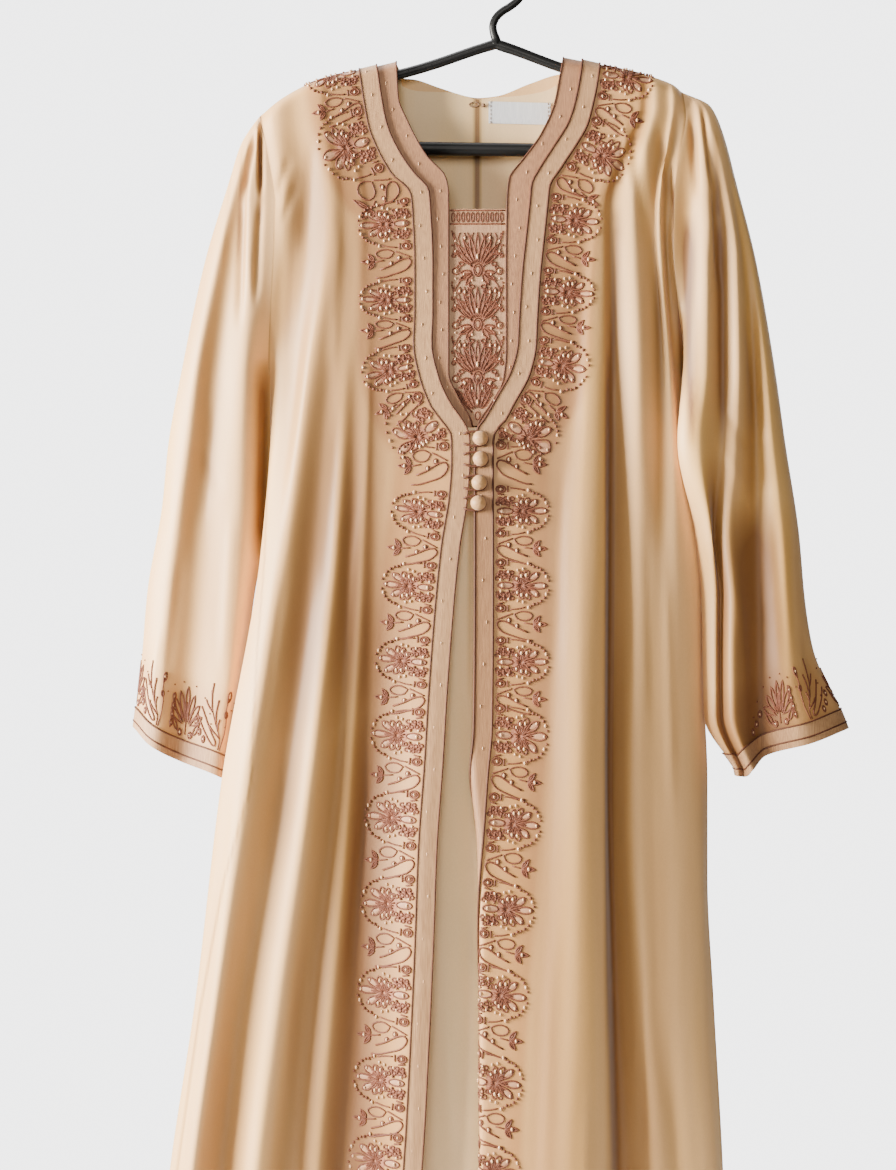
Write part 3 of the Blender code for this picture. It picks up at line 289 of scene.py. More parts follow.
# ------------------------------------------------------------------------- hanger
HOOK_BEND = 27.0           # centreline radius
HOOK_CORD = 3.8            # radius of the hook's rod
HOOK_NECK = ((0, 84), (0, 79), (-2.4, 71.4), (-2.9, 64.6), (0, 57.4), (5.8, 51.6))
HANGER_TILT = 0.014        # radians, the right arm hangs higher
# (across, drop, rod radius) from the middle of the arms round one end to the bar
HANGER_HALF = ((0, 83, 5.2), (20, 89.5, 4.7), (60.7, 104.1, 4.7), (94.5, 114.1, 4.7),
               (125, 120.2, 5), (154, 125.2, 5), (166, 130.6, 5), (173, 138, 5), (176, 145, 5),
               (175, 157, 5), (171, 168, 5), (163, 177.5, 5), (152, 183, 5), (138, 184.7, 5.5),
               (120, 184.7, 6.5))

# ------------------------------------------------------------------------ curves
def smooth(knots, values, at):
    """Value at a place on a curve through the knots that never overshoots them."""
    knots = np.asarray(knots, float)
    values = np.asarray(values, float)
    at = float(np.clip(at, knots[0], knots[-1]))
    step = np.diff(knots)
    slope = np.diff(values) / step
    place = min(int(np.searchsorted(knots, at, side="right")) - 1, len(step) - 1)

    def tangent(k):
        if k in (0, len(step)):
            return slope[0 if k == 0 else -1]
        before, after = slope[k - 1], slope[k]
        return 0.0 if before * after <= 0 else 2 * before * after / (before + after)

    s = (at - knots[place]) / step[place]
    rise = s * s * (3 - 2 * s)
    return ((1 - rise) * values[place] + rise * values[place + 1]
            + step[place] * s * (1 - s) * ((1 - s) * tangent(place) - s * tangent(place + 1)))


def line_at(line, at):
    """Second column of a two-column line where its first column is `at`."""
    return smooth([row[0] for row in line], [row[1] for row in line], at)


def through(points, splits):
    """Centripetal curve through (across, depth) points, split between each two."""
    points = np.asarray(points, float)
    gaps = np.sqrt(np.linalg.norm(np.diff(points, axis=0), axis=1)) + 1e-6
    knots = np.concatenate(([0.0], np.cumsum(gaps)))
    slopes = np.diff(points, axis=0) / gaps[:, None]
    inner = ((gaps[1:, None] * slopes[:-1] + gaps[:-1, None] * slopes[1:])
             / (gaps[1:] + gaps[:-1])[:, None])
    tangents = np.vstack((slopes[:1], inner, slopes[-1:]))
    out = [points[0]]
    for k, count in enumerate(splits):
        step = knots[k + 1] - knots[k]
        for part in range(1, count + 1):
            s = part / count
            rise = s * s * (3 - 2 * s)
            out.append((1 - rise) * points[k] + rise * points[k + 1] + step * s * (1 - s)
                       * ((1 - s) * tangents[k] - s * tangents[k + 1]))
    return np.array(out)


def shoulder(across):
    return line_at(SHOULDER, across)


def ease(value, start, end):
    s = min(max((value - start) / (end - start), 0.0), 1.0)
    return s * s * (3 - 2 * s)


def armhole_depth(drop, tip):
    """Half depth of the armhole loop, nought at the shoulder tip and the underarm."""
    around = min(max((drop - tip) / (UNDERARM - tip), 0.0), 1.0)
    return ARMHOLE_DEPTH * math.sin(math.pi * around) ** 0.6


def folds(table, drop, drops=FOLD_DROPS):
    """(across, depth) of each fold line of a table at a drop."""
    return [(smooth(drops, across, drop), smooth(drops, depth, drop))
            for _name, across, depth in table]


# ---------------------------------------------------------------------- sections
def band_width(edge, drop):
    """The band keeps its width square to its edge, so it is wider across a slant."""
    slant = (line_at(edge, drop + 10) - line_at(edge, drop - 10)) / 20
    return FRONT_BAND * min(math.hypot(1, slant), 1.3)


def band_line(hand, start, end, step):
    """(across, drop) down the outer line of a front band."""
    return np.array([(line_at(EDGE[hand], d) + hand * band_width(EDGE[hand], d), d)
                     for d in np.arange(start, end, step)])


def robe_side(hand, facing, drop):
    """The robe's armhole seam and side seam."""
    seam = SIDE_SEAM[hand]
    return line_at(seam, drop), facing * armhole_depth(drop, seam[0][0])


def robe_front(hand):
    """Side seam to front edge, before the left edge rolls under."""
    def section(drop):
        edge = line_at(EDGE[hand], drop)
        width = band_width(EDGE[hand], drop)
        depth = smooth(FOLD_DROPS, BAND_DEPTH[hand], drop)
        beside = [(edge + width + ROLL_ZONE, depth)] if hand == LEFT else []
        return ([robe_side(hand, FRONT, drop)] + folds(ROBE_FRONT[hand], drop) + beside
                + [(edge + hand * width, depth), (edge, depth)])
    return section


def robe_back(drop):
    """Right side seam to left side seam."""
    return ([robe_side(RIGHT, BACK, drop)] + folds(ROBE_BACK, drop)
            + [robe_side(LEFT, BACK, drop)])


def roll_axis(drops):
    """Across of the axis that the left front edge rolls round."""
    return np.array([line_at(ROLL_EDGE, d) + ROLL_RADIUS for d in drops])


def roll_under(across, depth, drop, axis):
    """Carry what lies past the roll edge round behind the front."""
    past = np.where(drop > ROLL_EDGE[0][0], axis - across, -1.0)
    turn = np.clip(past / ROLL_RADIUS, 0, math.pi)
    rolled = axis - ROLL_RADIUS * np.sin(turn) + np.maximum(past - math.pi * ROLL_RADIUS, 0)
    return (np.where(past > 0, rolled, across),
            depth + ROLL_RADIUS * (1 - np.cos(turn)))


def dress_side(hand, facing, drop):
    """The inner dress's armhole edge and side seam, inside the robe's."""
    down = min(drop / UNDERARM, 1.0)
    return (line_at(SIDE_SEAM[hand], drop) - hand * (DRESS_INSET + 6 * ease(drop, 850, 1200)),
            facing * DRESS_ARMHOLE_DEPTH * math.sqrt(1 - down ** 6))


def dress_neck(hand, drop):
    """Outer line of the inner neck band, just past the robe's edge down to the V, and its edge."""
    depth = smooth(FOLD_DROPS, DRESS_BAND_DEPTH, drop)
    line = line_at(EDGE[hand], drop) - hand * 0.7
    line += (-20 + hand * 26 - line) * ease(drop, V_DROP - 8, V_DROP + 40)
    return [(line, depth), (line_at(NECK[hand], drop), depth)]


def dress_front(drop):
    """Right side to neck edge, then left neck edge to left side."""
    return ([dress_side(RIGHT, FRONT, drop)] + folds(DRESS_FRONT[RIGHT], drop)
            + dress_neck(RIGHT, drop) + dress_neck(LEFT, drop)[::-1]
            + folds(DRESS_FRONT[LEFT], drop) + [dress_side(LEFT, FRONT, drop)])


def dress_back(hand):
    """Side to centre-back seam."""
    def section(drop):
        centre = (CENTRE_BACK + hand * SEAM / 2, smooth(FOLD_DROPS, DRESS_CENTRE_DEPTH, drop))
        return [dress_side(hand, BACK, drop)] + folds(DRESS_BACK[hand], drop) + [centre]
    return section


def sleeve(hand):
    """Front seam round the outside to the back seam."""
    table, drops, inner_seam = SLEEVE[hand]
    armhole = SIDE_SEAM[hand]

    def section(drop):
        seam = smooth(drops, inner_seam, drop) if drop > UNDERARM else line_at(armhole, drop)
        arm = armhole_depth(drop, armhole[0][0])
        return [(seam, -arm)] + folds(table, drop, drops) + [(seam, arm)]
    return section


# -------------------------------------------------------------------------- grids
YOKE = 287.0               # the rows above the underarm are spaced for this height
UPPER_HEIGHTS = np.array([0, 0.5, 1.2, 2.2, 3.6, 5.2, 7.2, 9.6, 12.4, 15.6, 19.5, 24]
                         + list(np.arange(29, 284, 5.2)) + [YOKE]) / YOKE
UNDERARM_ROW = len(UPPER_HEIGHTS) - 1
COLUMN = 3.8               # about the width of a cloth cell
HIDDEN_COLUMN = 6.2        # on the backs and the inner dress
SLEEVE_COLUMN = 3.3
ROW = 6.6                  # about the height of a cell below the underarm
SLEEVE_ROWS = 55
SECTION_STEP = 4.0         # drop between two sections
COARSE = 30                # sections that show how wide each part of a piece gets
TOP_GUESS, HEM_GUESS = 120.0, 760.0  # where the search for a column's end starts
HOLLOW_REACH = 40.0        # how far to each side a fold's hollow is judged


def lower_rows(*stops):
    """Drops from the underarm down, through the stops."""
    rows = [UNDERARM]
    for stop in stops:
        count = max(1, round((stop - rows[-1]) / ROW))
        rows += list(rows[-1] + (stop - rows[-1]) * np.arange(1, count + 1) / count)
    return rows[1:]


class Sections:
    """A piece's sections at close drops, with columns spaced evenly between its fold lines."""

    def __init__(self, section, last, column=COLUMN, first=FIRST_DROP, single=None):
        coarse = np.array([section(d) for d in np.linspace(first, last, COARSE)])
        reach = np.linalg.norm(np.diff(coarse, axis=1), axis=2).max(axis=0)
        self.splits = [1 if k == single else max(2, math.ceil(r / column))
                       for k, r in enumerate(reach)]
        self.lines = np.concatenate(([0], np.cumsum(self.splits)))
        self.drops = np.arange(first, last + 5.0, SECTION_STEP)
        self.points = np.array([through(section(d), self.splits) for d in self.drops])
        self.count = self.points.shape[1]

    def at(self, column, drop):
        """Across and depth of a column at one or many drops."""
        return [np.interp(drop, self.drops, self.points[:, column, k]) for k in (0, 1)]

    def column(self, table, name):
        """Column of a fold line; the side seam comes before the table's first."""
        return self.lines[[row[0] for row in table].index(name) + 1]


def rounded(across, depth, drop, layer=0.0):
    """Depth after the cloth's roll over the hanger."""
    rise = (drop - np.array([shoulder(x) for x in across]) - layer) / (SHOULDER_ROLL - layer)
    return depth * np.sqrt(1 - (1 - np.clip(rise, 0, 1)) ** 2)


def body_grid(sections, facing, top, lower, seams, layer=None, rolls=False):
    """Points (row, column, xyz) of a front or back."""
    grid = np.zeros((len(UPPER_HEIGHTS) + len(lower), sections.count, 3))
    for c in range(sections.count):
        first = TOP_GUESS
        for _ in range(6):
            first = top(float(sections.at(c, first)[0]))
        drops = np.concatenate((first + UPPER_HEIGHTS * (UNDERARM - first), lower))
        across, depth = sections.at(c, drops)
        if rolls:
            across, depth = roll_under(across, depth, drops, roll_axis(drops))
        if layer or c not in seams:
            depth = rounded(across, depth, drops, layer or 0.0)
        grid[:, c] = np.column_stack((across, facing * np.maximum(facing * depth, SEAM / 2),
                                      -drops))
    for c, side in seams.items():
        grid[:len(UPPER_HEIGHTS), c, 0] -= side * SEAM / 2
    return grid


def sleeve_grid(hand):
    tip = SIDE_SEAM[hand][0][0]
    sections = Sections(sleeve(hand), SLEEVE_END, SLEEVE_COLUMN, tip)
    levels = np.linspace(0, 1, SLEEVE_ROWS + 1)[1:]
    grid = np.zeros((len(UPPER_HEIGHTS) + SLEEVE_ROWS, sections.count, 3))
    for c in range(sections.count):
        hem = HEM_GUESS
        for _ in range(8):
            hem = line_at(CUFF[hand], float(sections.at(c, hem)[0]))
        drops = np.concatenate((tip + UPPER_HEIGHTS * (UNDERARM - tip),
                                UNDERARM + levels * (hem - UNDERARM)))
        across, depth = sections.at(c, drops)
        grid[:, c] = np.column_stack((across, depth, -drops))
    for c, facing in ((0, FRONT), (-1, BACK)):
        grid[:, c, 1] = facing * np.maximum(facing * grid[:, c, 1], SEAM / 2)
    grid[:, :, 0] += hand * SEAM
    grid[0] = (grid[0, 0, 0], 0.0, grid[0, 0, 2])
    return grid


def unit(vectors):
    return vectors / np.maximum(np.linalg.norm(vectors, axis=-1, keepdims=True), 1e-9)


def directions(points, axis):
    """Mean of the unit steps before and after each point of a grid, along an axis."""
    steps = np.moveaxis(unit(np.diff(points, axis=axis)), axis, 0)
    both = np.concatenate((steps[:1], steps[:-1] + steps[1:], steps[-1:]))
    return np.moveaxis(both, 0, axis)


def normals(points, facing):
    """Unit normals of a grid, turned so that its first half faces front or back."""
    normal = unit(np.cross(directions(points, 1), directions(points, 0)))
    half = normal.shape[1] // 2 + 1
    return normal * np.sign(facing * normal[:, :half, 1].sum())


def keep_off(normal, rows, column, axis, side):
    """Turn a column's normals away from what it is sewn to."""
    part = normal[rows, column]
    part[..., axis] = side * np.minimum(side * part[..., axis], 0.0)
    normal[rows, column] = unit(part)


def body_normals(points, facing, seams, neck=()):
    normal = normals(points, facing)
    for c in range(points.shape[1]):
        if c not in neck:
            keep_off(normal, 0, c, 1, facing)
    for c, side in seams.items():
        keep_off(normal, slice(0, UNDERARM_ROW), c, 0, -side)
        keep_off(normal, slice(UNDERARM_ROW, None), c, 1, facing)
    return normal


def along_rows(points, table, fade):
    """Strength of each row of a table over a grid, and its ease (0 to 1) from its ends.

    Each row: across and drop of the start, across and drop of the end, half width, depth.
    """
    x, drop = points[..., 0], -points[..., 2]
    for x0, d0, x1, d1, width, depth in table:
        way = np.array((x1 - x0, d1 - d0), float)
        length = np.linalg.norm(way)
        way /= length
        along = (x - x0) * way[0] + (drop - d0) * way[1]
        off = (x - x0) * way[1] - (drop - d0) * way[0]
        yield (depth * np.exp(-(off / width) ** 2),
               np.clip(np.minimum(along, length - along) / (fade * length), 0, 1))


def crease(points, normal, table):
    """Press soft troughs (depth < 0) and ridges into a grid."""
    move = np.zeros(points.shape[:2])
    for press, ends in along_rows(points, table, 0.3):
        move += press * ends * ends * (3 - 2 * ends)
    return points + normal * move[..., None]


def shades(points, table, seam=None, seam_width=1.5):
    """Depth of shade in the closed folds of a grid, and along a seam line."""
    x, drop = points[..., 0], -points[..., 2]
    total = np.zeros(points.shape[:2])
    for press, ends in along_rows(points, table, 0.22):
        total = np.maximum(total, press * ends * (2 - ends))
    if seam is not None:
        line = np.interp(drop, [d for d, _x in seam], [v for _d, v in seam])
        total = np.maximum(total, 0.55 * np.exp(-((x - line) / seam_width) ** 2))
    return total


# ------------------------------------------------------------------------- meshes
WELD = 2e-6                # points closer than this, in metres, become one
SHARP = 1.0                # radians; an edge bent more than this stays sharp


def place(name, data):
    made = bpy.data.objects.new(name, data)
    bpy.context.collection.objects.link(made)
    return made


def link(name, mesh, surface):
    mesh.materials.append(surface)
    return place(name, mesh)


def hollows(points, normal):
    """How deep each grid point lies between its neighbours, from 0 to about 1."""
    # used as painted shade: the deeper a point lies, the darker its colour is drawn
    columns = np.arange(points.shape[1])
    width = np.linalg.norm(np.diff(points, axis=1), axis=2).mean()
    total = np.zeros(points.shape[:2])
    for way in (-1, 1):
        best = np.zeros(points.shape[:2])
        for k in range(1, round(HOLLOW_REACH / width) + 1):
            ahead = points[:, np.clip(columns + way * k, 0, columns[-1])] - points
            length = np.linalg.norm(ahead, axis=2) + 1e-6
            best = np.maximum(best, np.sum(ahead * normal, axis=2) / length)
        total += best / 2
    for _ in range(2):
        total[1:-1] = (total[:-2] + 2 * total[1:-1] + total[2:]) / 4
        total[:, 1:-1] = (total[:, :-2] + 2 * total[:, 1:-1] + total[:, 2:]) / 4
    return total


def shell(name, outer, normal, thickness, surface, present=True, shade=0.0, **tones):
    """A thin closed shell between a grid and the same grid moved in.

    `present` marks the cells that are cloth; `shade` adds to its mask of hollows, the painted
    shade of its folds.
    """
    rows, columns = outer.shape[:2]
    corners = np.concatenate((outer.reshape(-1, 3),
                              (outer - normal * thickness).reshape(-1, 3))) * MM
    count = rows * columns
    r, c = np.nonzero(np.broadcast_to(present, (rows - 1, columns - 1)))
    a = r * columns + c
    skin = np.column_stack((a, a + 1, a + columns + 1, a + columns))
    edges = np.concatenate([skin[:, [k, (k + 1) % 4]] for k in range(4)])
    key = edges[:, 0] * (2 * count) + edges[:, 1]
    back = edges[:, 1] * (2 * count) + edges[:, 0]
    rim = edges[~np.isin(key, back)]
    sides = np.column_stack((rim[:, 1], rim[:, 0], rim[:, 0] + count, rim[:, 1] + count))
    faces = np.concatenate((skin, skin[:, ::-1] + count, sides))
    mesh = bpy.data.meshes.new(name)
    mesh.from_pydata(corners.tolist(), [], faces.tolist())
    # the hollow mask is painted shade: the materials darken the colour where it is high
    for label, values in dict(tones, hollow=hollows(outer, normal) + shade).items():
        tone = mesh.attributes.new(label, "FLOAT", "POINT")
        tone.data.foreach_set("value", np.tile(values.ravel(), 2).astype(np.float32))
    form = bmesh.new()
    form.from_mesh(mesh)
    bmesh.ops.delete(form, geom=[v for v in form.verts if not v.link_faces], context="VERTS")
    bmesh.ops.remove_doubles(form, verts=form.verts, dist=WELD)
    bmesh.ops.recalc_face_normals(form, faces=form.faces)
    for face in form.faces:
        face.smooth = True
    for edge in form.edges:
        if len(edge.link_faces) == 2 and edge.calc_face_angle(0.0) > SHARP:
            edge.smooth = False
    form.to_mesh(mesh)
    form.free()
    return link(name, mesh, surface)


def joined(name, chunks, surface):
    """One mesh from (vertices in mm, faces) chunks."""
    vertices, faces, start = [], [], 0
    for points, cells in chunks:
        vertices.append(np.asarray(points, float))
        faces += [[k + start for k in cell] for cell in cells]
        start += len(points)
    mesh = bpy.data.meshes.new(name)
    mesh.from_pydata((np.concatenate(vertices) * MM).tolist(), [], faces)
    mesh.polygons.foreach_set("use_smooth", np.ones(len(mesh.polygons), bool))
    mesh.update()
    return link(name, mesh, surface)


def tube(path, radius, sides=6, closed=False, flat=1.0, out=AHEAD):
    """Chunk of a cord along a path in mm; `flat` presses it against what it lies on."""
    path = np.asarray(path, float)
    radius = np.broadcast_to(np.asarray(radius, float), (len(path),))
    if closed:
        ahead = unit(np.roll(path, -1, axis=0) - np.roll(path, 1, axis=0))
    else:
        ahead = unit(np.gradient(path, axis=0))
    side = unit(np.cross(ahead, np.broadcast_to(np.asarray(out, float), path.shape)))
    up = np.cross(side, ahead)
    turn = 2 * np.pi * np.arange(sides) / sides
    ring = (side[:, None] * np.cos(turn)[None, :, None]
            + flat * up[:, None] * np.sin(turn)[None, :, None])
    points = (path[:, None] + radius[:, None, None] * ring).reshape(-1, 3)
    cells = []
    count = len(path)
    for k in range(count if closed else count - 1):
        a, b = k * sides, ((k + 1) % count) * sides
        cells += [[a + j, a + (j + 1) % sides, b + (j + 1) % sides, b + j]
                  for j in range(sides)]
    if not closed:
        cells.append(list(range(sides))[::-1])
        cells.append([(count - 1) * sides + j for j in range(sides)])
    return points, cells


def ball_form(segments, rings):
    """Unit sphere as (vertices, faces), in an order that is the same each run."""
    form = bmesh.new()
    bmesh.ops.create_uvsphere(form, u_segments=segments, v_segments=rings, radius=1.0)
    form.verts.index_update()
    points = np.array([v.co[:] for v in form.verts])
    order = np.lexsort(np.round(points, 4).T)
    rank = np.argsort(order).tolist()
    cells = sorted([rank[v.index] for v in f.verts] for f in form.faces)
    form.free()
    return points[order], cells


BEAD = ball_form(8, 5)
KNOT = ball_form(6, 4)


def bead(place, radius, form=BEAD, stretch=(1.0, 1.0, 1.0)):
    return form[0] * radius * np.array(stretch) + place, form[1]


# ---------------------------------------------------------------------- materials
WHITE = (1.0, 1.0, 1.0, 1)


def srgb(r, g, b):
    """Linear colour from 0-255 values."""
    return tuple((v / 255 / 12.92) if v <= 10 else ((v / 255 + 0.055) / 1.055) ** 2.4
                 for v in (r, g, b)) + (1.0,)


class Surface:
    """A Principled material with its texture nodes."""

    def __init__(self, name, roughness, **sockets):
        self.made = bpy.data.materials.new(name)
        self.made.use_nodes = True
        self.tree = self.made.node_tree
        self.shader = self.tree.nodes["Principled BSDF"]
        for socket, value in dict(sockets, Roughness=roughness).items():
            self.shader.inputs[socket.replace("_", " ")].default_value = value
        self.place = self.node("ShaderNodeTexCoord").outputs["Object"]

    def node(self, kind, **values):
        made = self.tree.nodes.new(kind)
        for name, value in values.items():
            if name in made.inputs:
                made.inputs[name].default_value = value
            else:
                setattr(made, name, value)
        return made

    def join(self, start, end):
        self.tree.links.new(start, end)

    def noise(self, x, y, z, detail=2.0):
        """Noise with this many cells to the metre along each axis."""
        mapping = self.node("ShaderNodeMapping", Scale=(x, y, z))
        self.join(self.place, mapping.inputs["Vector"])
        made = self.node("ShaderNodeTexNoise", Scale=1.0, Detail=detail)
        self.join(mapping.outputs["Vector"], made.inputs["Vector"])
        return made.outputs["Fac"]

    def wave(self, direction, scale):
        made = self.node("ShaderNodeTexWave", bands_direction=direction, Scale=scale)
        self.join(self.place, made.inputs["Vector"])
        return made.outputs["Fac"]

    def ramp(self, fac, *stops):
        made = self.node("ShaderNodeValToRGB")
        while len(made.color_ramp.elements) < len(stops):
            made.color_ramp.elements.new(0.5)
        for element, (place, colour) in zip(made.color_ramp.elements, stops):
            element.position = place
            element.color = colour
        self.join(fac, made.inputs["Fac"])
        return made.outputs["Color"]

    def mix(self, fac, first, second, blend="MIX"):
        made = self.node("ShaderNodeMixRGB", blend_type=blend)
        for value, socket in ((fac, "Fac"), (first, "Color1"), (second, "Color2")):
            if isinstance(value, bpy.types.NodeSocket):
                self.join(value, made.inputs[socket])
            else:
                made.inputs[socket].default_value = value
        return made.outputs["Color"]

    def darken(self, tone, mask, *stops):
        """Multiply a tone by a ramp over a texture, or over a mask kept on the mesh."""
        if isinstance(mask, str):
            mask = self.node("ShaderNodeAttribute", attribute_name=mask).outputs["Fac"]
        return self.mix(1.0, tone, self.ramp(mask, *stops), "MULTIPLY")

    def finish(self, colour, *layers):
        """Layers of bump: (height, distance in mm, strength)."""
        self.join(colour, self.shader.inputs["Base Color"])
        last = None
        for height, distance, strength in layers:
            made = self.node("ShaderNodeBump", Strength=strength, Distance=distance * MM)
            self.join(height, made.inputs["Height"])
            if last:
                self.join(last, made.inputs["Normal"])
            last = made.outputs["Normal"]
        self.join(last, self.shader.inputs["Normal"])
        return self.made


def crepe_surface(name, light, dark, golden):
    """Soft satin crepe: fine uneven weave, faint long streaks, with painted shade in its folds and
    a darker embroidered strip.
    """
    made = Surface(name, 0.52, Sheen_Weight=0.2, Sheen_Roughness=0.45)
    tone = made.ramp(made.noise(24, 24, 1.5, 3.0), (0.34, srgb(*dark)), (0.52, srgb(*light)),
                     (0.70, srgb(*golden)))
    grain = made.noise(900, 900, 500)
    tone = made.mix(0.6, tone, made.darken(tone, grain, (0.35, (0.93, 0.92, 0.91, 1)),
                                           (0.65, WHITE)))
    # darker on the embroidered strip: partly the strip's own ground, partly painted shade
    tone = made.darken(tone, "strip", (0.0, WHITE), (1.0, (0.72, 0.61, 0.51, 1)))
    # painted shade from the hollow mask: deep folds go dark brown
    tone = made.darken(tone, "hollow", (0.06, WHITE), (0.38, (0.76, 0.70, 0.56, 1)),
                       (0.9, (0.27, 0.185, 0.10, 1)))
    weave = made.mix(0.5, made.wave("X", 620.0), made.wave("Z", 520.0))
    return made.finish(tone, (made.noise(60, 60, 18, 3.0), 0.9, 0.35), (grain, 0.10, 0.35),
                       (weave, 0.06, 0.3))


def band_surface(name, light, dark):
    """Dense woven band with threads that run along it."""
    made = Surface(name, 0.6, Sheen_Weight=0.2, Sheen_Roughness=0.5)
    thread = made.noise(1500, 1500, 60)
    tone = made.ramp(thread, (0.3, srgb(*dark)), (0.7, srgb(*light)))
    tone = made.darken(tone, made.noise(20, 20, 9), (0.3, (0.9, 0.88, 0.87, 1)), (0.7, WHITE))
    # painted shade from the hollow mask in the band's folds
    tone = made.darken(tone, "hollow", (0.06, WHITE), (0.38, (0.72, 0.63, 0.54, 1)),
                       (0.9, (0.27, 0.17, 0.11, 1)))
    return made.finish(tone, (made.noise(40, 40, 25), 0.5, 0.3), (thread, 0.25, 0.6))


def cord_surface(name, light, dark):
    """Silky twisted cord."""
    made = Surface(name, 0.6, Specular_IOR_Level=0.3)
    stops = (0.35, srgb(*dark)), (0.65, srgb(*light))
    twist = made.noise(700, 700, 700)
    tone = made.mix(0.35, made.ramp(twist, *stops), made.ramp(made.noise(30, 30, 12), *stops))
    return made.finish(tone, (twist, 0.3, 0.6))


def plain_surface(name, colour, roughness, **sockets):
    """Moulded or glazed stuff with faint marks in its gloss."""
    made = Surface(name, roughness, **sockets)
    marks = made.noise(180, 180, 180, 4.0)
    low = tuple(v * 0.88 for v in colour[:3]) + (1.0,)
    return made.finish(made.ramp(marks, (0.3, low), (0.7, colour)), (marks, 0.05, 0.25))


CREPE = crepe_surface("crepe", (229, 183, 125), (220, 172, 115), (231, 182, 110))
DRESS_CREPE = crepe_surface("dress_crepe", (237, 203, 154), (229, 193, 144), (239, 201, 142))
PAD = crepe_surface("pad", (180, 130, 96), (168, 120, 86), (184, 136, 98))
BUTTON = crepe_surface("button_cloth", (186, 142, 94), (176, 132, 86), (190, 144, 88))
BAND = band_surface("band", (190, 146, 101), (155, 113, 74))
NECK_BAND = band_surface("neck_band", (194, 146, 106), (154, 110, 79))
PANEL = band_surface("panel", (188, 146, 110), (158, 116, 84))
LABEL_TAPE = band_surface("label_tape", (226, 228, 232), (206, 208, 214))
CORD = cord_surface("cord", (126, 74, 52), (84, 44, 30))
SATIN = cord_surface("satin", (178, 120, 92), (140, 86, 62))
PIPING = cord_surface("piping", (98, 58, 40), (68, 38, 26))
THREAD = cord_surface("thread", (150, 118, 92), (112, 84, 62))
PEARL = plain_surface("pearl", srgb(212, 166, 126), 0.22, Coat_Weight=0.5, Coat_Roughness=0.2)
PLASTIC = plain_surface("plastic", (0.006, 0.006, 0.0065, 1.0), 0.42, Specular_IOR_Level=0.3)

# ------------------------------------------------------------------- camera, light
CAMERA_PLACE, CAMERA_LENS = (-0.0473, -2.030, -0.6046), 64.78
# name, place, what it points at, size and power of each lamp, and its colour
LAMPS = (
    ("key", (-2.35, -0.78, -0.25), (0.0, 0.0, -0.75), 1.1, 425.0, (1.0, 0.955, 0.87)),
    ("fill", (-0.3, -2.9, 0.3), (0.0, 0.0, -0.7), 1.4, 48.0, (1.0, 0.955, 0.89)),
    ("top", (-0.5, 0.3, 1.9), (0.0, 0.0, -0.5), 1.2, 45.0, (1.0, 1.0, 1.0)),
    ("rear", (0.6, 2.4, 0.3), (0.0, 0.0, -0.8), 2.0, 90.0, (1.0, 1.0, 1.0)))


def make_stage():
    camera = bpy.data.cameras.new("camera")
    camera.sensor_width = 36.0
    camera.lens = CAMERA_LENS
    camera.clip_end = 30.0
    view = place("camera", camera)
    view.location = CAMERA_PLACE
    view.rotation_euler = (math.pi / 2, 0.0, 0.0)
    bpy.context.scene.camera = view
    for name, spot, aim, size, power, colour in LAMPS:
        lamp = bpy.data.lights.new(name, "AREA")
        lamp.shape, lamp.size, lamp.energy, lamp.color = "SQUARE", size, power, colour
        made = place(name, lamp)
        made.location = spot
        way = np.array(aim) - np.array(spot)
        made.rotation_euler = (math.atan2(math.hypot(way[0], way[1]), -way[2]), 0.0,
                               math.atan2(-way[0], way[1]))
    world = bpy.data.worlds.new("studio")
    world.use_nodes = True
    bpy.context.scene.world = world
    tree = world.node_tree
    lit, seen = tree.nodes["Background"], tree.nodes.new("ShaderNodeBackground")
    for node, colour, strength in ((lit, srgb(240, 230, 212), 0.14),
                                   (seen, srgb(236, 236, 237), 4.9)):
        node.inputs["Color"].default_value = colour
        node.inputs["Strength"].default_value = strength
    ray = tree.nodes.new("ShaderNodeLightPath")
    both = tree.nodes.new("ShaderNodeMixShader")
    for start, end in ((ray.outputs["Is Camera Ray"], both.inputs[0]),
                       (lit.outputs[0], both.inputs[1]), (seen.outputs[0], both.inputs[2]),
                       (both.outputs[0], tree.nodes["World Output"].inputs["Surface"])):
        tree.links.new(start, end)
    form = bmesh.new()
    bmesh.ops.create_circle(form, cap_ends=True, segments=96, radius=1.1)
    mesh = bpy.data.meshes.new("floor")
    form.to_mesh(mesh)
    form.free()
    floor = link("floor", mesh, plain_surface("floor", srgb(236, 236, 236), 0.7))
    floor.location = (-0.05, 0.0, -1.60)


make_stage()

# ---------------------------------------------------------------------- outer robe
# across and drop of the start, across and drop of the end, half width, depth
CREASES = {RIGHT: (
    (-198, 192, -210, 232, 3.5, -1.6), (-190, 214, -206, 262, 3.5, -1.3),
    (-176, 168, -186, 300, 6, -1.6), (-150, 420, -168, 640, 6, -1.3),
    (-132, 520, -150, 760, 5, 1.2), (-196, 560, -232, 820, 6, -1.6),
    (-210, 800, -252, 1120, 7, 1.5), (-120, 760, -146, 1010, 5, -1.3),
    (-176, 900, -214, 1240, 6, -1.5), (-130, 1080, -165, 1420, 6, 1.4),
    (-262, 1050, -310, 1420, 7, -1.5), (-150, 250, -158, 420, 6, 1.2),
), LEFT: (
    (150, 152, 178, 300, 4.5, -2.2), (138, 160, 158, 330, 5, 1.8),
    (128, 168, 142, 300, 4, -1.5), (120, 150, 127, 240, 3.5, 1.1),
    (60, 470, 52, 720, 6, -1.0), (140, 520, 148, 760, 5, -1.2),
    (158, 560, 166, 840, 4.5, 1.2), (52, 900, 40, 1240, 6, 1.2),
    (132, 900, 140, 1200, 5, -1.4), (160, 1000, 186, 1380, 6, -1.4),
    (84, 1050, 74, 1400, 6, 1.0),
)}
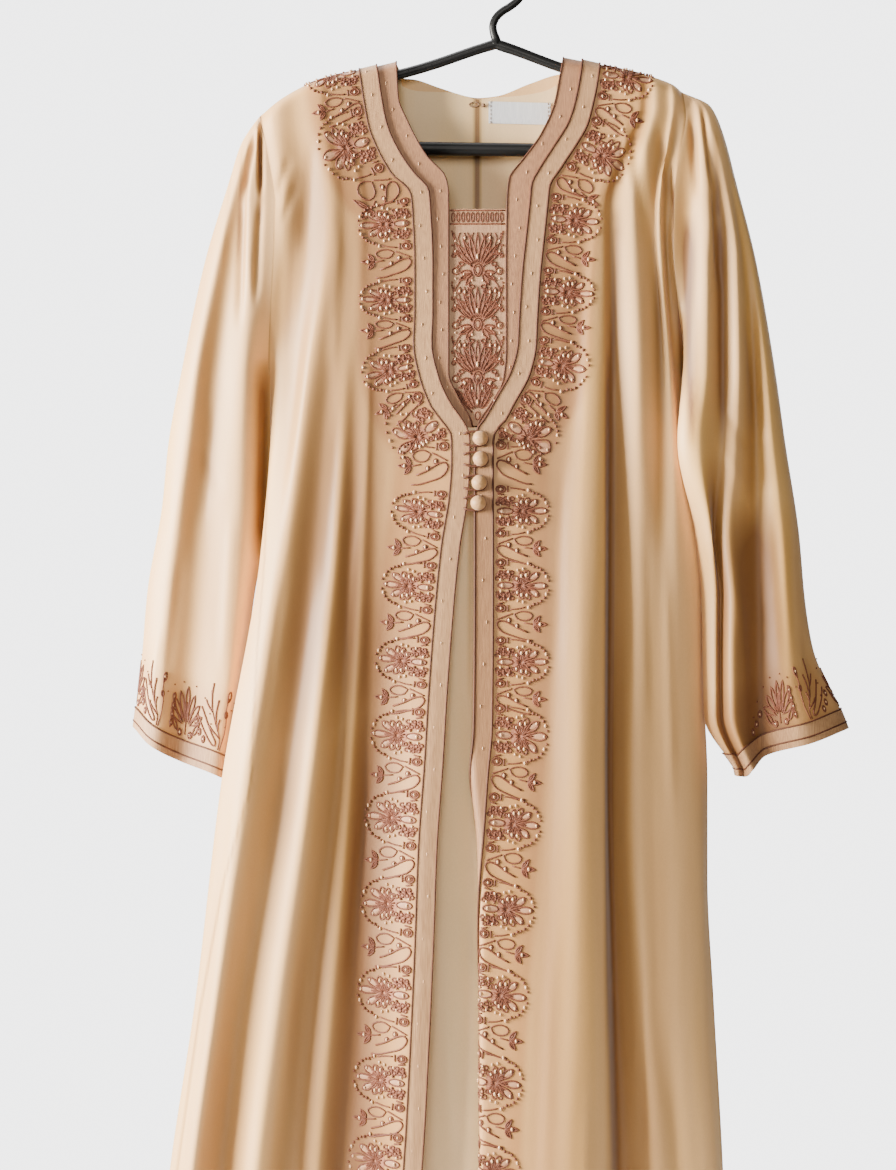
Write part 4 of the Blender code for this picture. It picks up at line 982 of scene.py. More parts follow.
CREASES_BACK = (
    (-180, 180, -196, 420, 7, -2.0), (-130, 170, -142, 460, 6, 1.5),
    (140, 170, 152, 430, 7, -2.0), (98, 180, 104, 460, 6, 1.4),
    (-60, 200, -66, 520, 8, -1.4), (24, 210, 30, 540, 8, -1.4),
    (-110, 640, -128, 1000, 8, 1.6), (-180, 700, -224, 1150, 8, -1.8),
    (80, 640, 92, 1020, 8, 1.6), (140, 760, 170, 1240, 8, -1.8),
    (-40, 900, -46, 1350, 9, 1.3), (10, 1000, 16, 1420, 9, -1.3),
)
CREASES_SLEEVE = {
    RIGHT: ((-227, 158, -226, 238, 2.6, -5.0), (-226, 222, -231, 345, 3.0, -3.2),
            (-233, 162, -243, 240, 3.0, -4.5), (-243, 218, -247, 370, 3.6, -2.6),
            (-236, 175, -238, 340, 3.6, 2.0), (-270, 420, -284, 560, 5, -1.6),
            (-252, 520, -262, 700, 5, 1.5), (-300, 560, -318, 720, 5, -1.5),
            (-290, 470, -262, 520, 5, -1.2), (-322, 640, -336, 740, 4, 1.2)),
    LEFT: ((196, 138, 205, 230, 3.2, -3.6), (204, 215, 213, 330, 3.6, -2.6),
           (186, 150, 190, 240, 3.0, -2.8), (200, 150, 203, 300, 4.0, 2.2),
           (236, 330, 250, 470, 5, -1.6), (214, 440, 240, 480, 4, -1.8),
           (212, 474, 238, 520, 4, 1.4), (262, 520, 276, 700, 5, -1.5),
           (230, 600, 238, 720, 5, 1.5), (290, 640, 312, 740, 5, -1.3)),
}
# painted shade in closed folds, under another layer and over broad stretches that lie in shade:
# rows as above, with the depth of shade
SHADES = {
    RIGHT: ((-122, 0, -136, 800, 80, 0.62), (-120, 560, -150, 1640, 50, 0.46),
            (-190, 175, -203, 410, 8, 0.42), (-172, 470, -172, 900, 55, 0.19),
            (-133, 690, -167, 1230, 8, 0.26), (-164, 760, -208, 1230, 8, 0.20),
            (-226, 385, -228, 575, 5, 0.9), (-100, 640, -112, 860, 6, 0.12)),
    LEFT: ((116, 235, 106, 450, 5, 0.35), (105, 350, 104, 1080, 5.5, 0.66),
           (104, 930, 116, 1330, 6, 0.42), (153, 300, 153, 580, 5, 0.32),
           (171, 240, 182, 470, 4.5, 0.85), (250, 330, 215, 900, 50, 0.22),
           (140, 560, 150, 1540, 75, 0.16), (58, 20, 44, 1640, 44, 0.6)),
}
SHADES_DRESS = ((-23.5, 475, -22, 730, 4.5, 0.85), (-22, 690, -9, 860, 5, 0.9),
                (-9, 820, -8, 1470, 5, 0.9))
SHADES_SLEEVE = {
    RIGHT: ((-228.5, 163, -226, 262, 1.8, 0.55), (-245, 178, -248, 300, 1.8, 0.35),
            (-225, 385, -228, 585, 8, 0.95), (-254, 168, -262, 300, 2.0, 0.2)),
    LEFT: ((209, 165, 211, 262, 3.0, 0.35), (212, 245, 214, 480, 4.5, 0.42),
           (185, 250, 187, 470, 5, 0.6), (181, 250, 183, 480, 5, 0.95),
           (240, 370, 246, 720, 6, 0.2), (200, 480, 226, 790, 20, 0.26),
           (196, 138, 202, 230, 1.6, 0.35),
           (232, 520, 270, 830, 46, 0.62)),
}


def ride(piece, *nodes):
    """Put a piece on the one body, and let it stand for these nodes."""
    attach(piece, "root")
    if nodes:
        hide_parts(*nodes)


def cloth(node, points, normal, wall, surface, **more):
    """The shell that stands for a cloth's node."""
    ride(shell(f"{node}_cloth", points, normal, wall, surface, **more), node)


def band(node, points, normal, area, **more):
    """A strip sewn on an area of a cloth's grid."""
    cloth(node, points[area] + normal[area] * BAND_LIFT, normal[area], BAND_SHELL, BAND, **more)


def strip_tone(points, hand):
    """1 on the embroidered strip along the band's line, fading out past its edge."""
    line = band_line(hand, EDGE[hand][0][0], ROBE_HEM, 6.0)
    apart = np.array([np.hypot(line[:, 0] - x, line[:, 1] + z).min()
                      for x, _y, z in points.reshape(-1, 3)])
    return 1 - np.clip((apart - STRIP) / STRIP_FADE, 0, 1).reshape(points.shape[:2])


def make_robe_front(hand):
    sections = Sections(robe_front(hand), ROBE_HEM)
    points = body_grid(sections, FRONT, shoulder, lower_rows(V_DROP, ROBE_HEM), {0: hand},
                       rolls=hand == LEFT)
    normal = body_normals(points, FRONT, {0: hand})
    points = crease(points, normal, CREASES[hand])
    cloth(f"robe_front_{NAME[hand]}", points, normal, ROBE_SHELL, CREPE,
          shade=shades(points, SHADES[hand], SIDE_SEAM[hand]), strip=strip_tone(points, hand))
    line = sections.lines[-2]
    drop = -points[:, line:, 2]
    # the left band lies in the right front's shade below the buttons
    shade = (0.42 * np.clip((drop - 440) / 90, 0, 1) * np.clip((1300 - drop) / 300, 0, 1)
             if hand == LEFT else 0.0)
    band(f"front_band_{NAME[hand]}", points, normal, (slice(None), slice(line, None)),
         shade=shade)
    return sections, points, normal, line


FRONTS = {hand: make_robe_front(hand) for hand in (RIGHT, LEFT)}


def make_robe_back():
    sections = Sections(robe_back, ROBE_HEM, HIDDEN_COLUMN)
    sides = {0: RIGHT, sections.count - 1: LEFT}
    start, neck_right, neck_left, end = [
        sections.column(ROBE_BACK, name)
        for name in ("band right", "neck right", "neck left", "band left")]

    def top(across):
        return max(shoulder(across), line_at(ROBE_BACK_NECK, across))
    points = body_grid(sections, BACK, top, lower_rows(ROBE_HEM), sides)
    normal = body_normals(points, BACK, sides, range(neck_right + 1, neck_left))
    points = crease(points, normal, CREASES_BACK)
    cloth("robe_back", points, normal, ROBE_SHELL, CREPE)
    rows = int(np.searchsorted(UPPER_HEIGHTS * YOKE, BACK_NECK_BAND)) + 1
    area = (slice(0, rows), slice(start, end + 1))
    band("back_neck_band", points, normal, area)
    return points[area], normal[area]


BACK_NECK = make_robe_back()


def make_sleeve(hand):
    points = sleeve_grid(hand)
    normal = normals(points, FRONT)
    for c in (0, -1):
        keep_off(normal, slice(1, UNDERARM_ROW), c, 0, hand)
        keep_off(normal, slice(UNDERARM_ROW, None), c, 1, 0)
    normal[0] = (-hand * 0.35, 0.0, 0.94)   # up, and in to the robe, at the shoulder tip
    points = crease(points, normal, CREASES_SLEEVE[hand])
    above = np.linalg.norm(points - points[-1], axis=2).mean(axis=1)
    # the cuff's strip is darker: partly its own ground, partly painted shade
    strip_ground_and_shade = 0.7 * np.clip((CUFF_STRIP - above) / CUFF_FADE, 0, 1)
    strip_ground_and_shade = np.broadcast_to(strip_ground_and_shade[:, None], points.shape[:2])
    front_only = np.clip(0.5 - points[..., 1] / 8, 0, 1)
    cloth(f"sleeve_{NAME[hand]}", points, normal, ROBE_SHELL, CREPE, strip=strip_ground_and_shade,
          shade=shades(points, SHADES_SLEEVE[hand]) * front_only)
    rows = [int(np.argmin(np.abs(above - height))) for height in (CUFF_BAND, CUFF_LINE)]
    band(f"cuff_band_{NAME[hand]}", points, normal, (slice(rows[0], None), slice(None)))
    return points, normal, rows


SLEEVES = {hand: make_sleeve(hand) for hand in (RIGHT, LEFT)}


# --------------------------------------------------------------------- inner dress
def dress_top(across):
    return shoulder(across) + DRESS_LAYER


def make_dress_front():
    sections = Sections(dress_front, DRESS_HEM, HIDDEN_COLUMN, single=4)
    sides = {0: RIGHT, sections.count - 1: LEFT}
    lower = lower_rows(V_DROP, DRESS_HEM)
    points = body_grid(sections, FRONT, dress_top, lower, sides, DRESS_LAYER)
    normal = body_normals(points, FRONT, sides)
    present = np.ones((points.shape[0] - 1, points.shape[1] - 1), bool)
    v_row = len(UPPER_HEIGHTS) + int(np.argmin(np.abs(np.array(lower) - V_DROP)))
    # the right band's outer line, the open V beside its edge, the left band's outer line
    outer_right, gap, outer_left = sections.lines[[3, 4, 6]]
    present[:v_row, gap] = False
    cloth("dress_front", points, normal, DRESS_SHELL, DRESS_CREPE, present=present,
          shade=shades(points, SHADES_DRESS))
    for name, first, last in (("right", outer_right, gap), ("left", gap + 1, outer_left)):
        area = (slice(0, v_row + 1), slice(first, last + 1))
        # painted shade: the inner neck bands lie in the robe's shade
        cloth(f"neck_band_{name}", points[area] + normal[area] * NECK_BAND_LIFT, normal[area],
              DRESS_SHELL, NECK_BAND, shade=0.3)
    return points, normal, v_row, {RIGHT: (outer_right, gap), LEFT: (outer_left, gap + 1)}


DRESS_POINTS, DRESS_NORMAL, V_ROW, NECK_COLUMNS = make_dress_front()


def make_dress_back(hand):
    sections = Sections(dress_back(hand), DRESS_HEM, HIDDEN_COLUMN)

    def top(across):
        return max(dress_top(across), line_at(DRESS_BACK_NECK, across))
    points = body_grid(sections, BACK, top, lower_rows(DRESS_HEM), {0: hand}, DRESS_LAYER)
    neck = sections.column(DRESS_BACK[hand], "neck point")
    normal = body_normals(points, BACK, {0: hand}, range(neck + 1, sections.count))
    keep_off(normal, slice(None), -1, 0, hand)
    closing = ((0, CENTRE_BACK), (DRESS_HEM, CENTRE_BACK))
    # a narrow dark line down the centre-back seam, with painted shade beside it
    cloth(f"dress_back_{NAME[hand]}", points, normal, DRESS_SHELL, DRESS_CREPE,
          shade=1.6 * shades(points, (), closing, 1.8) + 0.5 * shades(points, (), closing, 7.0))


for _hand in (RIGHT, LEFT):
    make_dress_back(_hand)


# ------------------------------------------------------------- drawing on the cloth
SHOULDER_ACROSS = np.arange(-236.0, 188.0, 2.0)
SHOULDER_DROP = np.array([shoulder(x) for x in SHOULDER_ACROSS])
ROLL_DROPS = np.arange(ROLL_EDGE[0][0], ROBE_HEM + 10, 5.0)
ROLL_AXIS = roll_axis(ROLL_DROPS)
GROUND_STEP = 1.5          # across, between the depths that a ground keeps
NUDGE = 1.2                # to each side, to find a ground's slope
TOP_CLEAR, SKIN = 1.4, 0.05    # drawings keep this far below the top and off the cloth


class Ground:
    """Lays flat drawings, as (across, drop), on a cloth."""

    def __init__(self, sections, facing=FRONT, rolls=False, layer=0.0):
        self.facing, self.rolls, self.layer = facing, rolls, layer
        self.first = sections.drops[0]
        rows = sections.points
        if rows[0, 0, 0] > rows[0, -1, 0]:
            rows = rows[:, ::-1]
        self.left = rows[..., 0].min()
        across = np.arange(self.left, rows[..., 0].max(), GROUND_STEP)
        self.depth = np.array([np.interp(across, row[:, 0], row[:, 1]) for row in rows])

    def base(self, spots):
        across, drop = spots[:, 0], spots[:, 1]
        a = np.clip((across - self.left) / GROUND_STEP, 0, self.depth.shape[1] - 1.01)
        b = np.clip((drop - self.first) / SECTION_STEP, 0, self.depth.shape[0] - 1.01)
        c, r = a.astype(int), b.astype(int)
        a, b = a - c, b - r
        depth = ((self.depth[r, c] * (1 - a) + self.depth[r, c + 1] * a) * (1 - b)
                 + (self.depth[r + 1, c] * (1 - a) + self.depth[r + 1, c + 1] * a) * b)
        top = np.interp(across, SHOULDER_ACROSS, SHOULDER_DROP) + self.layer
        rise = np.clip((drop - top) / (SHOULDER_ROLL - self.layer), 0, 1)
        depth = depth * np.sqrt(1 - (1 - rise) ** 2)
        if self.rolls:
            across, depth = roll_under(across, depth, drop,
                                       np.interp(drop, ROLL_DROPS, ROLL_AXIS))
        return np.column_stack((across, depth, -drop))

    def lay(self, drawing):
        """Points in mm and outward normals of a drawn line."""
        spots = np.array(drawing, float)
        top = np.interp(spots[:, 0], SHOULDER_ACROSS, SHOULDER_DROP)
        spots[:, 1] = np.maximum(spots[:, 1], top + TOP_CLEAR)
        right = self.base(spots + (NUDGE, 0)) - self.base(spots - (NUDGE, 0))
        down = self.base(spots + (0, NUDGE)) - self.base(spots - (0, NUDGE))
        normal = unit(-self.facing * np.cross(down, right))
        return self.base(spots) + normal * SKIN, normal


class Path:
    """A line in (across, drop), walked by its length, with its outward side."""

    def __init__(self, line, outward):
        self.line = np.asarray(line, float)
        steps = np.linalg.norm(np.diff(self.line, axis=0), axis=1)
        self.length = np.concatenate(([0.0], np.cumsum(steps)))
        ahead = np.gradient(self.line, axis=0)
        for _ in range(6):
            ahead[1:-1] = (ahead[:-2] + ahead[1:-1] + ahead[2:]) / 3
        ahead /= np.linalg.norm(ahead, axis=1, keepdims=True)
        self.out = np.column_stack((ahead[:, 1], -ahead[:, 0])) * outward

    def at(self, drawing):
        drawing = np.asarray(drawing, float)
        along, outward = drawing[:, :1], drawing[:, 1:]
        return np.column_stack([np.interp(along, self.length, self.line[:, k])
                                + outward * np.interp(along, self.length, self.out[:, k])
                                for k in (0, 1)])

    def reach(self, drop, outward):
        """Length at which a point that far out has this drop."""
        drops = self.line[:, 1] + outward * self.out[:, 1]
        return float(self.length[int(np.argmin(np.abs(drops - drop)))])


def curve(points, splits=3, closed=False):
    points = [tuple(p) for p in points]
    if closed:
        points = points + points[:1]
    line = through(points, [splits] * (len(points) - 1))
    return line[:-1] if closed else line


def petal(base, angle, length, width, start=2.5, steps=8, tip=0.8):
    """Closed loop from near its base, outward at an angle; a higher tip is rounder."""
    turn = math.radians(angle)
    way = np.array((math.sin(turn), math.cos(turn)))
    side = np.array((way[1], -way[0]))
    share = np.linspace(0, 1, steps) ** (1 / max(tip, 1.0))
    half = width * np.sin(np.pi * share ** tip) ** (0.8 if tip > 1 else 1.0)
    spine = np.asarray(base) + way * (start + (length - start) * share)[:, None]
    return np.concatenate((spine + side * half[:, None],
                           (spine - side * half[:, None])[-2:0:-1]))


def oval(centre, along, outward, count=10):
    turn = 2 * np.pi * np.arange(count) / count
    return np.asarray(centre) + np.column_stack((along * np.cos(turn), outward * np.sin(turn)))


def stroke(start, end, count=4):
    return np.linspace(start, end, count)


def pointing(angle):
    """Unit step at an angle in degrees from straight outward."""
    turn = math.radians(angle)
    return np.array((math.sin(turn), math.cos(turn)))


def cushion(points, out):
    """Chunk of a low pad on a closed line."""
    centre = points.mean(axis=0) + out.mean(axis=0) * 0.7
    count = len(points)
    return (np.vstack((points + out * 0.12, centre)),
            [[k, (k + 1) % count, count] for k in range(count)])


class Work:
    """Cords, knots, pearls, pads and fills sewn on a cloth, gathered into joined meshes.

    `lay` gives the points in mm and outward normals of a drawing, or None where it isn't
    sewn; drawings are first stretched and moved to the place where their unit begins.
    """

    def __init__(self, lay):
        self.lay, self.stretch, self.begin = lay, (1.0, 1.0), (0.0, 0.0)
        self.cords, self.knots, self.pearls, self.pads, self.fills = [], [], [], [], []

    def put(self, drawing):
        return self.lay(np.atleast_2d(drawing) * self.stretch + self.begin)

    def cord(self, drawing, radius, closed=False):
        laid = self.put(drawing)
        if laid:
            points, out = laid
            self.cords.append(tube(points + out * radius * 0.45, radius, 5, closed, 0.75, out))

    def loop(self, drawing, radius):
        self.cord(drawing, radius, True)

    def knot(self, spot, radius):
        laid = self.put(spot)
        if laid:
            self.knots.append(bead(laid[0][0] + laid[1][0] * radius * 0.4, radius, KNOT))

    def pearl(self, spot, radius):
        laid = self.put(spot)
        if laid:
            self.pearls.append(bead(laid[0][0] + laid[1][0] * radius * 0.6, radius, BEAD,
                                    (0.9, 0.9, 1.35)))

    def pad(self, drawing):
        laid = self.put(drawing)
        if laid:
            self.pads.append(cushion(*laid))

    def fill(self, drawing):
        laid = self.put(drawing)
        if laid:
            points, out = laid
            self.fills.append(cushion(points - out * 0.05, out * 0.6))

    def finish(self, name):
        for kind, chunks, surface in (("cords", self.cords + self.knots, CORD),
                                      ("pearls", self.pearls, PEARL),
                                      ("fills", self.fills, SATIN), ("pads", self.pads, PAD)):
            if chunks:
                ride(joined(f"{name}_{kind}", chunks, surface))


# petals of the border's flower: angle, start, length, half width, place of its pearl
FLOWER_PETALS = ((0, 3.5, 24.5, 2.9, 0), (34, 4.0, 19.5, 2.9, 0), (63, 4.5, 15.0, 2.6, 10.5),
                 (91, 4.5, 12.5, 2.3, 9.0), (122, 4.0, 10.5, 2.1, 0))
FINGER = ((15.5, 37.0), (15.0, 30.0), (12.0, 20.0), (8.5, 10.0), (4.0, 5.0), (0.0, 3.6),
          (-2.6, 6.0), (-2.2, 11.0), (0.5, 17.0), (4.5, 24.0), (8.0, 33.0))
LEAF = ((-9.0, 20.0), (-11.5, 26.0), (-11.0, 33.0), (-8.0, 37.0), (-4.5, 35.0), (-3.0, 29.0),
        (-4.5, 23.0))
# on each side of the flower: (along, outward) and radius of scrolls, knots and pearls
SCROLLS = ((7.2, 4.6, 2.0), (8.2, 9.2, 2.0), (8.0, 14.2, 2.1), (12.6, 7.0, 1.8),
           (12.8, 12.0, 1.9), (12.2, 17.8, 2.2), (7.2, 19.4, 2.0))
SIDE_KNOTS = ((10.2, 5.0, 1.4), (10.4, 10.4, 1.4), (10.2, 16.0, 1.4), (5.2, 15.0, 1.4),
              (17.6, 38.6, 1.6), (14.8, 45.2, 1.6), (16.8, 42.0, 1.3), (19.4, 35.6, 1.3),
              (11.6, 48.4, 1.5), (4.6, 52.2, 1.3))
SIDE_PEARLS = ((5.4, 7.2, 1.2), (12.8, 14.6, 1.2), (14.4, 23.4, 1.2), (15.6, 28.4, 1.2),
               (21.5, 7.4, 1.1), (20.6, 33.4, 1.4), (8.2, 50.2, 1.4))
UNIT, LAST_UNIT = 72.0, 82.0         # length of the drawn repeat, and of the last one
FLOWER_OUT = 27.0          # the flower's middle is this far from the band


def flower(work, dice):
    """One repeat of the border, drawn as (along, outward) about its flower."""
    base = np.array((0.0, FLOWER_OUT))
    work.fill(oval(base - (0.0, 0.5), 10.5, 9.0, 12))
    for angle, start, length, width, pearl in FLOWER_PETALS:
        for side in ((1,) if angle == 0 else (-1, 1)):
            turn = side * angle + dice.uniform(-3, 3)
            reach = length * dice.uniform(0.95, 1.04)
            way = pointing(turn)
            work.loop(petal(base, turn, reach, width, start, 9, 1.5), 0.85)
            if angle < 70:
                work.fill(petal(base, turn, reach * 0.62, width * 0.9, start, 6, 1.5))
            if angle < 50:
                work.pad(petal(base, turn, reach - 1.2, width - 0.9, start + 5.0, 7, 1.5))
                work.cord(stroke(base + way * 3.0, base + way * reach * 0.5), 0.75)
            if pearl:
                work.pearl(base + way * pearl, 1.45)
            else:
                work.pearl(base + way * (reach - 2.6), 1.25)
    for turn in range(0, 360, 24):
        way = pointing(turn)
        work.cord(stroke(base + way * 1.2, base + way * dice.uniform(5.0, 8.5), 3), 0.85)
    work.loop(oval((0, 11.5), 3.0, 7.4, 12), 0.8)
    work.pad(oval((0, 11.5), 2.3, 6.6))
    work.pearl((0, 8.8), 1.5)
    for side in (-1, 1):
        for along, outward, size in SCROLLS:
            spot = np.array((side * along, outward)) + dice.uniform(-0.5, 0.5, 2)
            work.loop(oval(spot, size * 0.75, size, 7), 0.85)
        for along, outward, size in SIDE_KNOTS:
            work.knot((side * along, outward), size)
        for along, outward, size in SIDE_PEARLS:
            work.pearl((side * along, outward), size)
        work.fill(oval((side * 10.0, 10.6), 4.4, 8.4, 10))
        work.loop(oval((side * 21.5, 7.4), 3.2, 4.4, 11), 0.95)
        work.loop(oval((side * 21.5, 7.4), 1.6, 2.6, 8), 0.7)
        work.cord(stroke((side * 18.6, 13.8), (side * 24.6, 14.2)), 0.9)
        work.cord(stroke((side * 17.0, 4.2), (side * 16.0, 10.5)), 0.85)
        work.cord(curve([(side * 22.6, 16.4), (side * 22.0, 23.0), (side * 20.4, 30.6)]), 0.75)
    middle = UNIT / 2
    work.cord(curve(FINGER, 2) + (middle, 0), 0.9)
    work.loop(curve(LEAF, 2, True) + (middle, 0), 0.8)
    work.cord(curve([(middle - 4.0, 4.0), (middle - 6.0, 9.0), (middle - 8.0, 14.0),
                     (middle - 9.6, 18.5)]), 0.8)
    for along, outward, size in ((-3.4, 15.0, 2.1), (2.0, 22.5, 1.9)):
        work.loop(oval((middle + along, outward), size, size, 8), 0.7)
        work.pearl((middle + along, outward), 1.35)
    tulip = np.array((middle + 0.5, 38.0))
    work.cord(stroke((middle - 1.0, 29.0), tulip), 0.75)
    for angle, length in ((-52, 10.0), (0, 13.0), (50, 9.5)):
        work.loop(petal(tulip, angle, length, 1.8, 0.8, 6), 0.9)
        work.fill(petal(tulip, angle, length * 0.85, 1.5, 0.8, 6))
        work.cord(stroke(tulip, tulip + pointing(angle) * 0.7 * length), 0.8)
    work.pearl(tulip + (0.0, 6.5), 1.4)


# drop of each flower of the border, from the shoulder to the hem
FLOWERS = {
    RIGHT: (116, 188, 262, 333, 401, 465, 535, 606, 677, 746, 825, 905, 988, 1070, 1147, 1230,
            1312, 1394, 1475),
    LEFT: (120, 196, 257, 327, 396, 466, 535, 606, 678, 747, 829, 909, 989, 1071, 1154, 1236,
           1317, 1398, 1478),
}


def front_border(hand, seed):
    ground = Ground(FRONTS[hand][0], rolls=hand == LEFT)
    path = Path(band_line(hand, EDGE[hand][0][0] - 4.0, ROBE_HEM + 1, 2.0), hand)

    def lay(drawing):
        if drawing[:, 0].min() < 3 or drawing[:, 0].max() > path.length[-1] - 2:
            return None
        return ground.lay(path.at(drawing))
    work = Work(lay)
    dice = np.random.default_rng(seed)
    starts = [path.reach(drop, FLOWER_OUT) for drop in FLOWERS[hand]]
    for start, after in zip(starts, starts[1:] + [starts[-1] + LAST_UNIT]):
        work.stretch, work.begin = ((after - start) / UNIT, 1.0), (start, 0)
        flower(work, dice)
    work.finish(f"border_{NAME[hand]}")


front_border(RIGHT, 11)
front_border(LEFT, 12)


# --------------------------------------------------------------------- band edging
def edging(name, *lines, radius=0.8):
    """Piping along grid lines, given as (points, normals) in mm."""
    ride(joined(name, [tube(points + out * PIPING_LIFT, radius, 6, False, 0.8, out)
                       for points, out in lines], PIPING))


def make_piping():
    for hand, radius in ((RIGHT, 0.8), (LEFT, 1.05)):
        _sections, points, normal, line = FRONTS[hand]
        edging(f"front_piping_{NAME[hand]}", *[(points[:, c], normal[:, c]) for c in (line, -1)],
               radius=radius)
    for hand, (_outer, edge) in NECK_COLUMNS.items():
        edging(f"neck_piping_{NAME[hand]}",
               (DRESS_POINTS[:V_ROW + 1, edge], DRESS_NORMAL[:V_ROW + 1, edge]))
    points, normal = BACK_NECK
    edging("back_neck_piping", (points[1], normal[1]), (points[-1], normal[-1]))
    for hand, (points, normal, rows) in SLEEVES.items():
        edging(f"cuff_piping_{NAME[hand]}", *[(points[r], normal[r]) for r in rows])


make_piping()


def band_stitches(name, points, normal, columns, rows):
    """Sparse light stitches down the middle of a band."""
    first, last = columns
    stitches = []
    for k, row in enumerate(rows):
        share = 0.35 + 0.3 * ((k * 7) % 5) / 4
        spot = points[row, first] * (1 - share) + points[row, last] * share
        stitches.append(bead(spot + normal[row, first] * 1.5, 0.62, KNOT, (1.0, 1.0, 3.0)))
    ride(joined(f"{name}_pearls", stitches, PEARL))


for _hand, _row in ((RIGHT, 6), (LEFT, 9)):
    _sections, _points, _normal, _line = FRONTS[_hand]
    band_stitches(f"band_stitches_{NAME[_hand]}", _points, _normal, (_line, -1),
                  range(_row, len(_points), 6))
for _hand, _row in ((RIGHT, 10), (LEFT, 12)):
    band_stitches(f"neck_stitches_{NAME[_hand]}", DRESS_POINTS, DRESS_NORMAL,
                  NECK_COLUMNS[_hand], range(_row, V_ROW, 5))


# -------------------------------------------------------------------------- cuffs
CUFF_STRETCH = (0.82, 1.42)  # of the sprays' drawing, along the cuff and up from it
CUFF_UNIT = 72.0             # about the length of a repeat along the cuff
INNER_FOLD = 238.0           # across at which the left sleeve's inner fold ends
TWIGS = (((44, 17), (43, 33)), ((49, 24), (59, 31)), ((37.5, 9), (52, 15)),
         ((50.5, 27), (51, 43)), ((40.5, 13), (39.5, 21)))
CUFF_FINGER = ((64, 26), (55, 17), (46, 9), (42, 6), (42, 3.4), (46, 3.4), (54, 8), (62, 14),
               (68, 20))


def spray(work, dice):
    """One repeat of the cuff's drawing, as (along, up) from the cuff band."""
    for angle in np.linspace(-62, 62, 7):
        length = 27 * (0.66 + 0.34 * math.cos(math.radians(angle))) * dice.uniform(0.93, 1.05)
        work.loop(petal((0, 8), angle, length, 2.3, 5.0, 8, 1.4), 0.85)
    work.cord(stroke((0, 4), (0, 26)), 0.6)
    for angle in (-74, -58, -38, -16, 8, 30, 50, 70):
        turn = math.radians(angle + dice.uniform(-4, 4))
        work.knot((34 * math.sin(turn), 8 + 31 * math.cos(turn)), 0.85)
    for side in (-1, 1):
        work.loop(oval((side * 6.5, 4.5), 2.2, 2.2, 8), 0.85)
        work.pearl((side * 6.5, 4.5), 1.0)
        work.loop(petal((side * 9, 4), side * 40, 13, 1.8, 1.0, 6), 0.85)
    for height in (5, 11, 17, 23):
        work.loop(petal((20 - 0.1 * height, height), -14, 6.5, 1.6, 0.3, 6, 1.3), 0.85)
        work.pearl((19.6 - 0.1 * height, height + 3.4), 0.75)
    work.cord(curve([(36, 1.5), (32.5, 12), (32, 22), (33.5, 28), (31.5, 36)]), 0.6)
    work.loop(oval((33, 25), 1.9, 2.1, 8), 0.85)
    work.loop(petal((33.2, 32), -22, 9, 2.1, 0.5, 7, 1.3), 0.85)
    work.pearl((31.8, 37), 0.9)
    work.cord(curve([(38, 1.5), (37.5, 9), (44, 17), (50.5, 27), (53, 38)]), 0.6)
    for foot, tip in TWIGS:
        bend = ((foot[0] + tip[0]) / 2 + 1.2, (foot[1] + tip[1]) / 2)
        work.cord(curve([foot, bend, tip]), 0.85)
    work.cord(curve(CUFF_FINGER, 2), 0.85)
    for spot in ((58, 5), (64, 9), (69, 15)):
        work.loop(oval(spot, 1.8, 2.3, 8), 0.85)
        work.pearl(spot, 0.9)


def cuff_sprigs(hand, seed):
    """Fine sprays of petals that stand on the cuff line all round."""
    points, normal, (start, _lower) = SLEEVES[hand]
    steps = np.linalg.norm(np.diff(points[start], axis=0), axis=1)
    around = np.concatenate(([0.0], np.cumsum(steps)))
    rise = np.linalg.norm(points[:start + 1] - points[start], axis=2).mean(axis=1)

    def spot(along, up):
        c = float(np.interp(along, around, np.arange(len(around))))
        r = float(np.interp(-up, -rise, np.arange(len(rise))))
        low_c, low_r = min(int(c), len(around) - 2), min(int(r), start - 1)
        a, b = c - low_c, r - low_r
        out = []
        for grid in (points, normal):
            top = grid[low_r, low_c] * (1 - a) + grid[low_r, low_c + 1] * a
            low = grid[low_r + 1, low_c] * (1 - a) + grid[low_r + 1, low_c + 1] * a
            out.append(top * (1 - b) + low * b)
        return out

    def lay(drawing):
        """The left sleeve's inner fold hangs plain over its own cuff."""
        placed, out = np.array([spot(a, u) for a, u in drawing]).swapaxes(0, 1)
        shown = hand == RIGHT or placed[:, 0].min() > INNER_FOLD or placed[:, 1].mean() > 0
        return (placed, out) if shown else None
    work = Work(lay)
    work.stretch = CUFF_STRETCH
    dice = np.random.default_rng(seed)
    count = round(around[-1] / CUFF_UNIT)
    step = around[-1] / count
    for k in range(count):
        work.begin = ((k + 0.12 + 0.1 * hand) * step, 0)
        spray(work, dice)
    work.finish(f"cuff_sprigs_{NAME[hand]}")


cuff_sprigs(RIGHT, 21)
cuff_sprigs(LEFT, 22)


# ----------------------------------------------------------------------- plastron
PLASTRON_MIDDLE = -19.3
PLASTRON_TUCK = 3.5        # the panel goes this far under the neck bands
PLASTRON_GRID = (90, 40)   # rows and columns
SIDE_STEMS = (4.5, 8.5, 13.0, 17.5, 21.5)
PLASTRON_FLOWERS = (305.0, 357.0, 408.0, 444.0)   # their drops
LADDER_TOP, LADDER_STEP = 255, 4.6   # drop that sets the top border's width; its spacing


def plastron_depth(drop):
    return smooth(FOLD_DROPS, DRESS_BAND_DEPTH, drop) + DRESS_WALL + 3 * SEAM


def inside(drawing, margin=1.5):
    """Whether a drawing lies on the panel, clear of the neck bands."""
    return all(line_at(NECK[RIGHT], d) + margin < x < line_at(NECK[LEFT], d) - margin
               for x, d in drawing)


